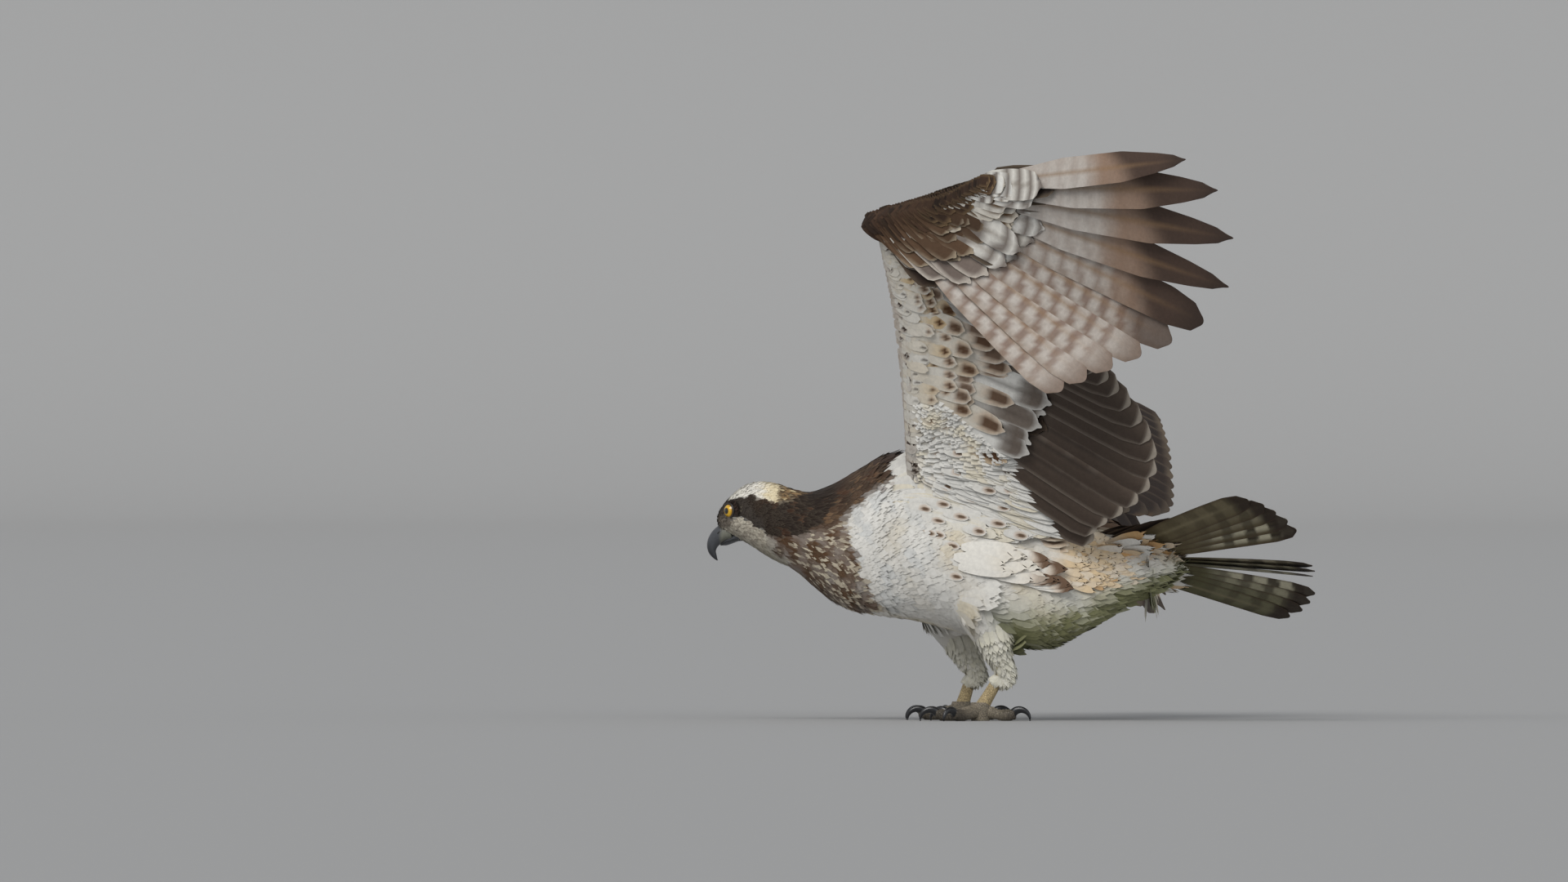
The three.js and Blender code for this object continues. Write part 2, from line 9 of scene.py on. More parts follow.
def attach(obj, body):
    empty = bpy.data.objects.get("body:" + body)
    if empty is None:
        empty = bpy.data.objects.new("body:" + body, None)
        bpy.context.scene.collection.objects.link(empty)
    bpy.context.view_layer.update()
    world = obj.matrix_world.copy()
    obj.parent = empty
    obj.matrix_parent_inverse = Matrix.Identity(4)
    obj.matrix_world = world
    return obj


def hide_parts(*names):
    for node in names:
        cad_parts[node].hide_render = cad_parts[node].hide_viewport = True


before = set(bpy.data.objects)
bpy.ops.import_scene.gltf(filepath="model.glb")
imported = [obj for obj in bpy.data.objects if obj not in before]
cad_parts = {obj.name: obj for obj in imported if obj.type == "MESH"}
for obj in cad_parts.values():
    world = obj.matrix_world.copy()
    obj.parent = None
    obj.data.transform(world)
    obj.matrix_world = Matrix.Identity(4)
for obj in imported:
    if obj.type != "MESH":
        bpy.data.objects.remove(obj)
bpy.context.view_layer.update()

bpy.ops.object.select_all(action="DESELECT")

# Studio: matt grey paper that lies flat as the floor and sweeps up in a cove to a plain wall far behind,
# lit by two wide soft lamps and seen through a long lens from the bird's left side, level with its body.
# SHIFT takes the drawing's own origin, where all the points below are measured from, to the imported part's.
SHIFT = np.array([-0.030929, -0.100855, 0.0])
CAMERA_DISTANCE = 24.0
CAMERA_AHEAD, CAMERA_HEIGHT = 0.192, 0.2736
SENSOR_WIDTH, VIEW_WIDTH = 36, 1.536
BACKDROP_REACH, COVE_RADIUS, WALL_HEIGHT = 60.0, 4.0, 36.0
bpy.ops.object.camera_add(
    location=(SHIFT[0] - CAMERA_AHEAD, SHIFT[1] - CAMERA_DISTANCE, CAMERA_HEIGHT),
    rotation=(math.pi / 2, 0, 0),
)
camera = bpy.context.object
camera.data.lens = SENSOR_WIDTH * CAMERA_DISTANCE / VIEW_WIDTH
camera.data.clip_end = 200
bpy.context.scene.camera = camera


def linear(code):
    parts = [int(code[i:i + 2], 16) / 255 for i in (1, 3, 5)]
    return np.array([c / 12.92 if c < 0.04045 else ((c + 0.055) / 1.055) ** 2.4 for c in parts])


def node(tree, kind, settings=None, links=None):
    made = tree.nodes.new(kind)
    for key, value in (settings or {}).items():
        if key.startswith("in:"):
            made.inputs[key[3:]].default_value = value
        else:
            setattr(made, key, value)
    for key, source in (links or {}).items():
        tree.links.new(source, made.inputs[int(key) if key.isdigit() else key])
    return made


def rgba(code):
    return (*linear(code), 1.0)


def new_material(name):
    made = bpy.data.materials.new(name)
    made.use_nodes = True
    tree = made.node_tree
    return made, tree, tree.nodes["Principled BSDF"]


def smooth_shaded(data):
    for polygon in data.polygons:
        polygon.use_smooth = True


sweep = [(-BACKDROP_REACH, 0.0), (BACKDROP_REACH - COVE_RADIUS, 0.0)]
for a in np.linspace(0, math.pi / 2, 13)[1:]:
    back = BACKDROP_REACH - COVE_RADIUS + COVE_RADIUS * math.sin(a)
    sweep.append((back, COVE_RADIUS - COVE_RADIUS * math.cos(a)))
sweep.append((BACKDROP_REACH, WALL_HEIGHT))
bpy.ops.mesh.primitive_plane_add(size=1)
floor = bpy.context.object
floor.name = "studio_sweep"
floor.data.clear_geometry()
floor.data.from_pydata(
    [(x, y, z) for y, z in sweep for x in (-BACKDROP_REACH, BACKDROP_REACH)],
    [],
    [(2 * i, 2 * i + 1, 2 * i + 3, 2 * i + 2) for i in range(len(sweep) - 1)],
)
smooth_shaded(floor.data)
paper, tree, shader = new_material("matt_paper_backdrop")
shader.inputs["Base Color"].default_value = rgba("#A2A2A2")
shader.inputs["Roughness"].default_value = 0.9
grain = node(tree, "ShaderNodeTexNoise", {"in:Scale": 900.0, "in:Detail": 2.0},
             {"Vector": node(tree, "ShaderNodeTexCoord").outputs["Object"]})
bump = node(tree, "ShaderNodeBump", {"in:Strength": 0.05, "in:Distance": 0.0005},
            {"Height": grain.outputs["Fac"]})
tree.links.new(bump.outputs["Normal"], shader.inputs["Normal"])
floor.data.materials.append(paper)

# Colours are shown straight, with no film curve and a little under-exposed, as on a dull soft day.
bpy.context.scene.view_settings.view_transform = "Standard"
bpy.context.scene.view_settings.exposure = -0.3
world = bpy.data.worlds.new("soft_room")
bpy.context.scene.world = world
world.use_nodes = True
world.node_tree.nodes["Background"].inputs["Color"].default_value = (0.93, 0.96, 1.0, 1.0)
world.node_tree.nodes["Background"].inputs["Strength"].default_value = 0.55
for place, strength, spread, colour in (
    ((-3.0, -6.0, 6.5), 2.1, 38, (1.0, 0.985, 0.96)),
    ((5.0, -5.0, 2.5), 0.5, 60, (0.95, 0.98, 1.0)),
):
    bpy.ops.object.light_add(type="SUN", location=place)
    sun = bpy.context.object
    sun.rotation_euler = (-Vector(place)).to_track_quat("-Z", "Y").to_euler()
    sun.data.energy = strength
    sun.data.angle = math.radians(spread)
    sun.data.color = colour


# The body under the plumage: trunk, neck, head, thighs and the fleshy edge of both wings, in one closed
# skin. It is lofted from oval sections in millimetres, merged and evened out, and lies under the solids'
# surface by the depth of the coat. Stations: x, height, radius up, radius down, half width, roll.
YAW = math.radians(10)
FORWARD = np.array([-math.cos(YAW), math.sin(YAW), 0])
LEFTWARD = np.array([-math.sin(YAW), -math.cos(YAW), 0])
UP = np.array([0.0, 0.0, 1.0])
BODY_STATIONS = np.array([
    [168, 157, 13, 22, 20, 32], [150, 158, 21, 38, 27, 31], [125, 160, 36, 56, 35, 28],
    [95, 157, 51, 80, 45, 26], [60, 157, 65, 93, 56, 25], [20, 161, 75, 92, 63, 25],
    [-20, 168, 80, 87, 66, 25], [-60, 176, 81, 84, 65, 24], [-100, 184, 75, 84, 58, 18],
    [-130, 181, 62, 73, 48, 12], [-150, 180, 52, 61, 41, 8], [-168, 183, 43, 49, 35, 6],
    [-186, 189, 39.5, 41, 29.5, 4], [-200, 194, 38.5, 39, 27.5, 3], [-212, 198, 36.5, 36, 26.5, 2],
    [-224, 200.5, 32.5, 30.5, 25, 1], [-235, 201, 27, 24.5, 22.5, 0], [-246, 199, 19.5, 17.5, 18, 0],
    [-254, 197, 12, 12, 12, 0], [-258, 196, 6, 7, 6, 0],
])
LEFT_WING = {
    "side": "left", "ventral": 1,
    "leading": [[-68, 0, 226], [-72, -42, 304], [-81, -83, 394], [-95, -114, 464], [-101, -130, 498]],
    "roots": [[2, 0, 216], [-24, -63, 280], [0, -110, 346], [-50, -124, 428], [-86, -131, 484]],
    "half": [17, 15, 12.5, 10.5, 9.5],
    "feathers": [[0.88, -0.1, -0.46], [0.91, -0.2, -0.36], [0.83, -0.22, -0.5]],
    "remex": [165, 200, 208, 208, 200],
    "wrist": [-98, -139, 495], "fingertip": [2, -232, 527], "trail": [0.62, -0.3, -0.7],
    "primaries": [[0.62, -0.38, -0.69], [0.8, -0.38, -0.46], [0.66, -0.745, 0.08]],
}
RIGHT_WING = {
    "side": "right", "ventral": -1,
    "leading": [[-66, 20, 218], [-58, 78, 275], [-50, 160, 312], [-26, 245, 345], [-8, 296, 363]],
    "roots": [[2, 20, 206], [6, 78, 252], [44, 134, 265], [34, 225, 314], [16, 292, 353]],
    "half": [17, 15, 12.5, 10.5, 9.5],
    "feathers": [[0.92, -0.06, -0.37], [0.87, 0.06, -0.48], [0.66, 0.25, -0.71]],
    "remex": [108, 152, 160, 170, 176],
    "wrist": [-3, 300, 357], "fingertip": [66, 408, 296], "trail": [0.5, 0.1, -0.86],
    "primaries": [[0.42, 0.28, -0.86], [0.46, 0.5, -0.73], [0.36, 0.83, -0.42]],
}
LEGS = {
    "left": {"hip": [2, -30, 160], "hock": [23, -46, 50], "foot": [0, -42, 11],
             "toes": [-14, 14, 60, 176]},
    "right": {"hip": [-26, 22, 140], "hock": [-6, 38, 50], "foot": [-18, 40, 11],
              "toes": [14, -14, -60, 184]},
}
THIGH_RADII = [[12, 10], [36, 28], [36, 28], [27, 22], [17.5, 15], [10.5, 10]]
COAT_DEPTH = 3.0
SKIN_GRAIN = 0.003


def in_metres(points):
    return np.array(points) * 0.001 + SHIFT


def in_mm(points):
    return (np.array(points) - SHIFT) * 1000


def unit(v):
    v = np.asarray(v, float)
    return v / np.maximum(np.linalg.norm(v, axis=-1, keepdims=True), 1e-9)


def keyed(keys, t):
    """A smooth value or point at t from 0 to 1 through evenly spaced keys"""
    keys = np.asarray(keys, float)
    at = min(max(t, 0), 1) * (len(keys) - 1)
    i = min(int(at), len(keys) - 2)
    f = at - i
    a, b, c, d = (keys[min(max(i + o, 0), len(keys) - 1)] for o in (-1, 0, 1, 2))
    square, cube = 2 * a - 5 * b + 4 * c - d, 3 * b - a - 3 * c + d
    return 0.5 * (2 * b + (c - a) * f + square * f * f + cube * f ** 3)


def body_section(x):
    xs = BODY_STATIONS[:, 0]
    i = int(np.clip(np.searchsorted(-xs, -x) - 1, 0, len(xs) - 2))
    t = (i + (x - xs[i]) / (xs[i + 1] - xs[i])) / (len(xs) - 1)
    _, z, high, low, wide, roll = keyed(BODY_STATIONS, t)
    a = math.radians(roll)
    across = LEFTWARD * math.cos(a) + UP * math.sin(a)
    up = UP * math.cos(a) - LEFTWARD * math.sin(a)
    return np.array([x, -x * math.tan(YAW), z]), across, up, wide, high, low


def oval(centre, across, up, wide, high, low, sides):
    a = np.linspace(0, 2 * math.pi, sides, endpoint=False)
    rise = np.sin(a) * np.where(np.sin(a) > 0, high, low)
    return centre + np.outer(np.cos(a) * wide, across) + np.outer(rise, up)


def tube_rings(points, radii, hint, sides):
    points = np.asarray(points, float)
    rings = []
    for i, point in enumerate(points):
        along = unit(points[min(i + 1, len(points) - 1)] - points[max(i - 1, 0)])
        across = unit(np.cross(hint, along))
        high, wide = radii[i]
        rings.append(oval(point, across, np.cross(along, across), wide, high, high, sides))
    return rings


def loft(name, rings):
    rings = np.asarray(rings)
    count, sides = rings.shape[:2]
    points = np.concatenate([rings.reshape(-1, 3), [rings[0].mean(0), rings[-1].mean(0)]])
    faces = []
    for r in range(count - 1):
        for i in range(sides):
            j = (i + 1) % sides
            faces.append((r * sides + i, r * sides + j, (r + 1) * sides + j, (r + 1) * sides + i))
    last = (count - 1) * sides
    for i in range(sides):
        j = (i + 1) % sides
        faces.append((count * sides, j, i))
        faces.append((count * sides + 1, last + i, last + j))
    data = bpy.data.meshes.new(name)
    data.from_pydata([tuple(p) for p in in_metres(points)], [], faces)
    piece = bpy.data.objects.new(name, data)
    bpy.context.collection.objects.link(piece)
    bpy.ops.object.select_all(action="DESELECT")
    bpy.context.view_layer.objects.active = piece
    piece.select_set(True)
    bpy.ops.object.mode_set(mode="EDIT")
    bpy.ops.mesh.select_all(action="SELECT")
    bpy.ops.mesh.normals_make_consistent(inside=False)
    bpy.ops.object.mode_set(mode="OBJECT")
    smooth_shaded(data)
    return piece


def arm_frame(wing, u):
    lead = keyed(wing["leading"], u)
    root = keyed(wing["roots"], u)
    middle = np.array(wing["roots"][2], float) - wing["leading"][2]
    span = np.array(wing["roots"][4], float) - wing["roots"][1]
    under = unit(np.cross(middle, span)) * wing["ventral"]
    along = keyed(wing["feathers"], (u - 0.25) / 0.75)
    along = unit(along - under * along.dot(under))
    return lead, root, root - lead, under, along, keyed(wing["half"], u)


def hand_frame(wing, t):
    wrist, fingertip = np.array(wing["wrist"], float), np.array(wing["fingertip"], float)
    lead = wrist + (fingertip - wrist) * t
    along = unit(keyed(wing["primaries"], t))
    trail = unit(wing["trail"])
    chord = unit(trail + (along - trail) * t * 0.6) * (26 + (12 - 26) * t)
    low = keyed(wing["primaries"], max(0, t - 0.1))
    high = keyed(wing["primaries"], min(1, t + 0.1))
    turn = unit(np.cross(along, high - low)) * wing["ventral"]
    flat = unit(np.cross(along, fingertip - wrist)) * wing["ventral"]
    return lead, chord, unit(turn + flat), along, 9.5 + (4.5 - 9.5) * t


SECTION = [(0.06, 0.62), (0.25, 1), (0.6, 0.84), (1, 0.36)]


def wing_section(lead, chord, under, half):
    way = unit(chord)
    one = [lead + chord * c + under * (s * half - 1.5) for c, s in SECTION]
    other = [lead + chord * c - under * (s * half - 1.5) for c, s in reversed(SECTION)]
    return np.array([lead + way * 1.5, *one, *other])


def join(pieces, name):
    bpy.ops.object.select_all(action="DESELECT")
    for piece in pieces:
        piece.select_set(True)
    bpy.context.view_layer.objects.active = pieces[0]
    bpy.ops.object.join()
    pieces[0].name = name
    return pieces[0]


def coat_depth(x):
    return np.interp(x, [-230, -150], [1.0, COAT_DEPTH])


rings = []
for x in np.linspace(166, -256, 60):
    centre, across, up, wide, high, low = body_section(x)
    d = coat_depth(x)
    rings.append(oval(centre, across, up, wide - d, high - d, low - d, 40))
flesh = [loft("trunk", rings)]
for wing in (LEFT_WING, RIGHT_WING):
    rings = []
    for u in np.linspace(0, 1, 17):
        lead, root, chord, under, along, half = arm_frame(wing, u)
        rings.append(wing_section(lead, chord * 1.02, under, half))
    flesh.append(loft("arm_" + wing["side"], rings))
    rings = []
    for t in (-0.05, 0.12, 0.35, 0.6, 0.82, 1.0):
        lead, chord, under, along, half = hand_frame(wing, t)
        rings.append(wing_section(lead, chord, under, half))
    flesh.append(loft("hand_" + wing["side"], rings))


def thigh_line(leg):
    hip, hock = np.array(leg["hip"], float), np.array(leg["hock"], float)
    bow = np.array([-7, math.copysign(9, hock[1]), 0])
    steps = np.linspace(0, 1, len(THIGH_RADII))
    return [hip + (hock - hip) * t + bow * math.sin(math.pi * t) for t in steps]


for leg in LEGS.values():
    line = thigh_line(leg)
    steps = np.linspace(0, 1, 16)
    points = [keyed(line, t) for t in steps]
    radii = [np.maximum(keyed(THIGH_RADII, t) - np.interp(t, [0.6, 1], [3, 1.5]), 5) for t in steps]
    flesh.append(loft("thigh", tube_rings(points, radii, np.array([1.0, 0, 0]), 24)))
skin = join(flesh, "skin")
remesh = skin.modifiers.new("remesh", "REMESH")
remesh.mode = "VOXEL"
remesh.voxel_size = SKIN_GRAIN
bpy.ops.object.modifier_apply(modifier="remesh")
smooth = skin.modifiers.new("smooth", "SMOOTH")
smooth.iterations = 4
bpy.ops.object.modifier_apply(modifier="smooth")
smooth_shaded(skin.data)


# The coat of small feathers over trunk, neck, head and legs. Its markings come first: a white breast, a
# brown bar across the throat, a dark stripe through the eye, a brown back. A point on the far side is
# mirrored over the bird's own middle plane, so that both sides carry the same markings.
WHITE, CREAM = linear("#E9E7E1"), linear("#E2D3B8")
BROWN, DARK, TAN = linear("#5A4230"), linear("#33231A"), linear("#9A7A58")
GREY, SMOKE = linear("#8C8073"), linear("#C9C3B8")
RNG = np.random.default_rng(7)


def step(low, high, value):
    t = np.clip((value - low) / (high - low), 0, 1)
    return t * t * (3 - 2 * t)


def wave_noise(p, scale, seed):
    rng = np.random.default_rng(seed)
    total = np.zeros(len(p))
    for _ in range(6):
        way = unit(rng.normal(size=3))
        total += np.sin((p @ way) * (2 * math.pi / scale) * rng.uniform(0.6, 1.7) + rng.uniform(0, 6.28))
    return total / 3.2


def below(points, x, z):
    line = np.array(points, float)
    order = np.argsort(line[:, 0])
    return np.interp(x, line[order, 0], line[order, 1]) - z


def body_place(p):
    """Where points lie on the body: x, height, angle from the back, side, and distance out as a share"""
    x = p[:, 0]
    xs = BODY_STATIONS[::-1, 0]
    z0, high, low, wide, roll = (np.interp(x, xs, BODY_STATIONS[::-1, k]) for k in (1, 2, 3, 4, 5))
    a = np.radians(roll)
    across = np.outer(np.cos(a), LEFTWARD) + np.outer(np.sin(a), UP)
    up = np.outer(np.cos(a), UP) - np.outer(np.sin(a), LEFTWARD)
    rel = p - np.stack([x, -x * math.tan(YAW), z0], 1)
    side = (rel * across).sum(1)
    rise = (rel * up).sum(1)
    beside, above = side / wide, rise / np.where(rise > 0, high, low)
    mirrored = z0 + np.abs(side) * np.sin(a) + rise * np.cos(a)
    return x, mirrored, np.degrees(np.arctan2(np.abs(beside), above)), side, np.hypot(beside, above)


EYE_LINE_TOP = [(-262, 212), (-246, 216), (-236, 217), (-225, 221), (-218, 217), (-200, 213),
                (-186, 214.5), (-172, 222), (-160, 228), (-140, 244)]
EYE_LINE_LOW = [(-262, 190), (-246, 194), (-236, 199), (-225, 193.5), (-218, 188), (-205, 180),
                (-190, 178.5), (-175, 181), (-164, 190), (-153, 197), (-143, 213), (-132, 222)]
WHITE_EDGE = [(104, -107), (112, -106), (132, -115), (149, -126), (171, -132), (187, -133), (197, -142),
              (205, -138), (223, -131), (248, -116)]


def body_colour(p, spread):
    x, z, angle, _, _ = body_place(p)
    n1, n2, n3 = wave_noise(p, 9, 1), wave_noise(p, 22, 2), wave_noise(p, 55, 3)
    colour = np.tile(WHITE, (len(p), 1))

    def paint(target, share):
        share = np.clip(share, 0, 1)[:, None]
        colour[:] = colour * (1 - share) + target * share

    paint(SMOKE, 0.28 + 0.2 * n3 + 0.08 * n2)
    paint(linear("#E6D6AE"), step(0.0, 0.9, n3 + 0.3 * n2) * step(-110, -60, x) * 0.45)
    paint(linear("#C6CBCE"), step(0.1, 0.9, n2 - 0.4 * n3) * step(-20, -80, x) * 0.4)
    edge = below(WHITE_EDGE, z, x) + 3 * n2 + spread * 5
    throat = x + 214 - (188 - z) * 0.62 + 5 * n2
    chest = step(-3, 3, edge) * step(-5, 6, throat)
    paint(linear("#593D26"), chest * (0.9 + 0.2 * n2))
    paint(linear("#3E2D1E"), chest * step(0.3, 1.0, n1 + 0.4 * n2) * 0.55)
    streak = step(0.7, 0.78, spread - 0.2 * step(-150, -195, x) + 0.06 * n2)
    paint(linear("#D8CDB6"), chest * streak * (0.75 + 0.2 * n1))
    narrowing = np.interp(x, [-150, -60, 10, 60], [-22, 16, 16, 0])
    mantle = step(72, 58, angle + 6 * n2 + narrowing) * step(-196, -170, x)
    mantle *= step(150, 120, x) * 0.5 + 0.5
    paint(BROWN, mantle)
    paint(linear("#2C1B10"), mantle * (0.65 + 0.3 * n2))
    paint(TAN, mantle * step(0.75, 0.95, spread) * 0.3)
    head = step(-176, -192, x)
    top = below(EYE_LINE_TOP, x, z) + 1.5 * n1
    low = below(EYE_LINE_LOW, x, z) + 1.5 * n1
    stripe = step(-1.2, 1.2, top) * step(1.2, -1.2, low)
    neck = step(-140, -170, x)
    crown = step(1, -1, top) * head
    paint(linear("#F0ECE2"), crown)
    paint(linear("#E6D3A4"), crown * step(-222, -204, x + 4 * n1) * 0.75)
    paint(DARK, crown * step(0.84, 0.9, spread + 0.05 * n1) * step(-206, -236, x) * 0.8)
    nape = step(-203, -193, x + 3 * n2) * step(1, -1, top) * neck
    paint(linear("#8E7350"), nape)
    paint(DARK, nape * step(0.2, 0.6, spread + 0.25 * n1) * 0.85)
    paint(linear("#D9C79E"), nape * step(0.86, 0.92, spread) * 0.8)
    cheek = step(-1, 1, low) * step(4, -5, throat)
    paint(linear("#CFC7B6"), cheek)
    paint(GREY, cheek * step(0.5, 0.75, spread + 0.3 * n1) * 0.6)
    paint(linear("#A5A08C"), cheek * step(176, 162, z) * step(-235, -215, x) * 0.5)
    paint(linear("#1E110A"), stripe * step(-122, -150, x) * 0.97)
    paint(linear("#543420"), stripe * step(0.6, 1.1, n2 + spread * 0.5) * step(-225, -200, x) * 0.5)
    lores = step(-241, -246, x) * step(186, 193, z)
    paint(linear("#4B4038"), lores * step(217, 208, z + 2 * n1) * 0.9)
    paint(linear("#837A6E"), lores * step(203, 195, z) * 0.7)
    flank = step(-70, -30, x) * step(75, 60, x) * step(84, 96, angle) * step(150, 132, angle)
    paint(CREAM, flank * 0.3 * (0.6 + n3))
    vent = step(84, 128, x) * step(84, 110, angle)
    paint(linear("#E0B070"), vent * step(122, 100, angle + 14 * n2) * (0.7 + 0.3 * n1))
    # The underside is painted greyer olive, and olive green along its lowest fringe: painted shade with a
    # painted green reflection of the ground below, with a few pale streaks in it.
    under = step(118, 150, angle) * step(-4, 50, x)
    paint(linear("#B4B39C"), under * 0.55)
    painted_green_reflection = step(138, 158, angle + 5 * n2) * step(-4, 40, x)
    paint(linear("#6E7044"), painted_green_reflection * 0.9)
    paint(linear("#DAD8C0"), under * step(0.75, 0.9, spread) * 0.35)
    rump = step(96, 130, x) * step(84, 66, angle)
    paint(BROWN, rump * 0.9)
    return colour


# Each feather of the coat is a thin rounded vane rooted on the skin, lying back along the body over the
# next one, small and tight on the face. Every feather of the bird is made by vanes(), as a grid of
# points between its root (t 0) and tip (t 1) and from edge to edge (s -1 to 1).
OUTLINE_T = [0, 0.12, 0.4, 0.7, 0.88, 0.97, 1]
OUTLINES = {
    "contour": [0.4, 0.75, 1, 0.98, 0.78, 0.45, 0.15],
    "covert": [0.5, 0.85, 1, 1, 0.88, 0.6, 0.22],
    "remex": [0.22, 0.6, 0.96, 1, 0.97, 0.72, 0.3],
    "finger": [0.2, 0.5, 0.95, 0.94, 0.6, 0.36, 0.12],
}


def vanes(roots, along, face, length, width, rows, cols, outline="contour",
          lift=0.0, curl=0.0, camber=0.1, tilt=0.0, thick=0.0, ragged=0.0, bow=0.06, drape=None):
    count = len(roots)
    length, width, lift, curl, tilt = (np.broadcast_to(np.asarray(v, float), (count,))
                                       for v in (length, width, lift, curl, tilt))
    along = unit(along)
    face = unit(face - along * (along * face).sum(1, keepdims=True))
    across = np.cross(face, along)
    tilted = across * np.cos(tilt)[:, None] - face * np.sin(tilt)[:, None]
    normal = np.cross(along, tilted)
    t = 1 - (1 - np.linspace(0, 1, rows)) ** 1.35
    s = np.linspace(-1, 1, cols)
    share = np.interp(t, OUTLINE_T, OUTLINES[outline])
    reach = t[None, :, None] - bow * (s ** 2)[None, None, :] * t[None, :, None]
    if ragged:
        reach = reach + RNG.uniform(-ragged, ragged, (count, rows, cols)) * (t ** 3)[None, :, None]
    half = 0.5 * width[:, None, None] * share[None, :, None] * s[None, None, :]
    rise = (lift[:, None] * t + curl[:, None] * t ** 2)[:, :, None] + 0 * half
    if drape is not None:
        rise = rise + drape(t)[:, :, None]
    rise = rise - camber * np.abs(half) ** 1.5 / np.sqrt(np.maximum(width, 1))[:, None, None]
    rise = rise + thick * (1 - s ** 4)[None, None, :]
    points = roots[:, None, None, :] + along[:, None, None, :] * (length[:, None, None] * reach)[..., None]
    points = points + tilted[:, None, None, :] * half[..., None] + normal[:, None, None, :] * rise[..., None]
    shape = (count, rows, cols)
    t, s = np.broadcast_to(t[None, :, None], shape), np.broadcast_to(s[None, None, :], shape)
    barb = np.stack([half + np.zeros(shape), length[:, None, None] * t], -1)
    return points, (t, s), barb * 0.001, np.broadcast_to(face[:, None, None, :], points.shape)


def plumage_store():
    return {"points": [], "faces": [], "colour": [], "barb": [], "bake": [], "face": [], "count": 0}


def keep(store, made, colour, bake, inward=False):
    points, (t, s), barb, face = made
    count, rows, cols = points.shape[:3]
    index = np.arange(rows * cols).reshape(rows, cols)
    quad = np.stack([index[:-1, :-1], index[1:, :-1], index[1:, 1:], index[:-1, 1:]], -1).reshape(-1, 4)
    if inward:
        quad = quad[:, ::-1]
    faces = quad[None] + (np.arange(count) * rows * cols)[:, None, None] + store["count"]
    patch = np.stack([s * 0.0015, (t - 0.5) * 0.003], -1) + np.atleast_2d(bake)[:, None, None, :]
    store["points"].append(points.reshape(-1, 3))
    store["faces"].append(faces.reshape(-1, 4))
    store["colour"].append(np.clip(colour, 0, 1).reshape(-1, 3))
    store["barb"].append(barb.reshape(-1, 2))
    store["face"].append(face.reshape(-1, 3))
    store["bake"].append(patch.reshape(-1, 2))
    store["count"] += count * rows * cols


def vertex_values(data, what):
    flat = np.zeros(len(data.vertices) * 3, np.float32)
    data.vertices.foreach_get(what, flat)
    return flat.reshape(-1, 3)


def places(piece):
    return in_mm(vertex_values(piece.data, "co"))


def painted(data, colour):
    layer = data.color_attributes.new("plumage", "FLOAT_COLOR", "POINT")
    layer.data.foreach_set("color", np.c_[colour, np.ones(len(colour))].astype(np.float32).ravel())


def feather_piece(store, name, material, softness=0.0):
    points = in_metres(np.concatenate(store["points"]))
    faces = np.concatenate(store["faces"])
    data = bpy.data.meshes.new(name)
    data.vertices.add(len(points))
    data.vertices.foreach_set("co", points.astype(np.float32).ravel())
    data.loops.add(faces.size)
    data.loops.foreach_set("vertex_index", faces.astype(np.int32).ravel())
    data.polygons.add(len(faces))
    data.polygons.foreach_set("loop_start", np.arange(0, faces.size, 4, dtype=np.int32))
    data.polygons.foreach_set("use_smooth", np.ones(len(faces), bool))
    data.update(calc_edges=True)
    painted(data, np.concatenate(store["colour"]))
    for key, label in (("bake", "OFBake"), ("barb", "Barbs")):
        layer = data.uv_layers.new(name=label)
        layer.data.foreach_set("uv", np.concatenate(store[key])[faces.ravel()].astype(np.float32).ravel())
    data.validate()
    if softness:
        own, common = vertex_values(data, "normal"), np.concatenate(store["face"])
        data.normals_split_custom_set_from_vertices(unit(own * (1 - softness) + common * softness))
    data.materials.append(material)
    piece = bpy.data.objects.new(name, data)
    bpy.context.collection.objects.link(piece)
    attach(piece, "root")
    print(name, "triangles", 2 * len(faces))
    return piece


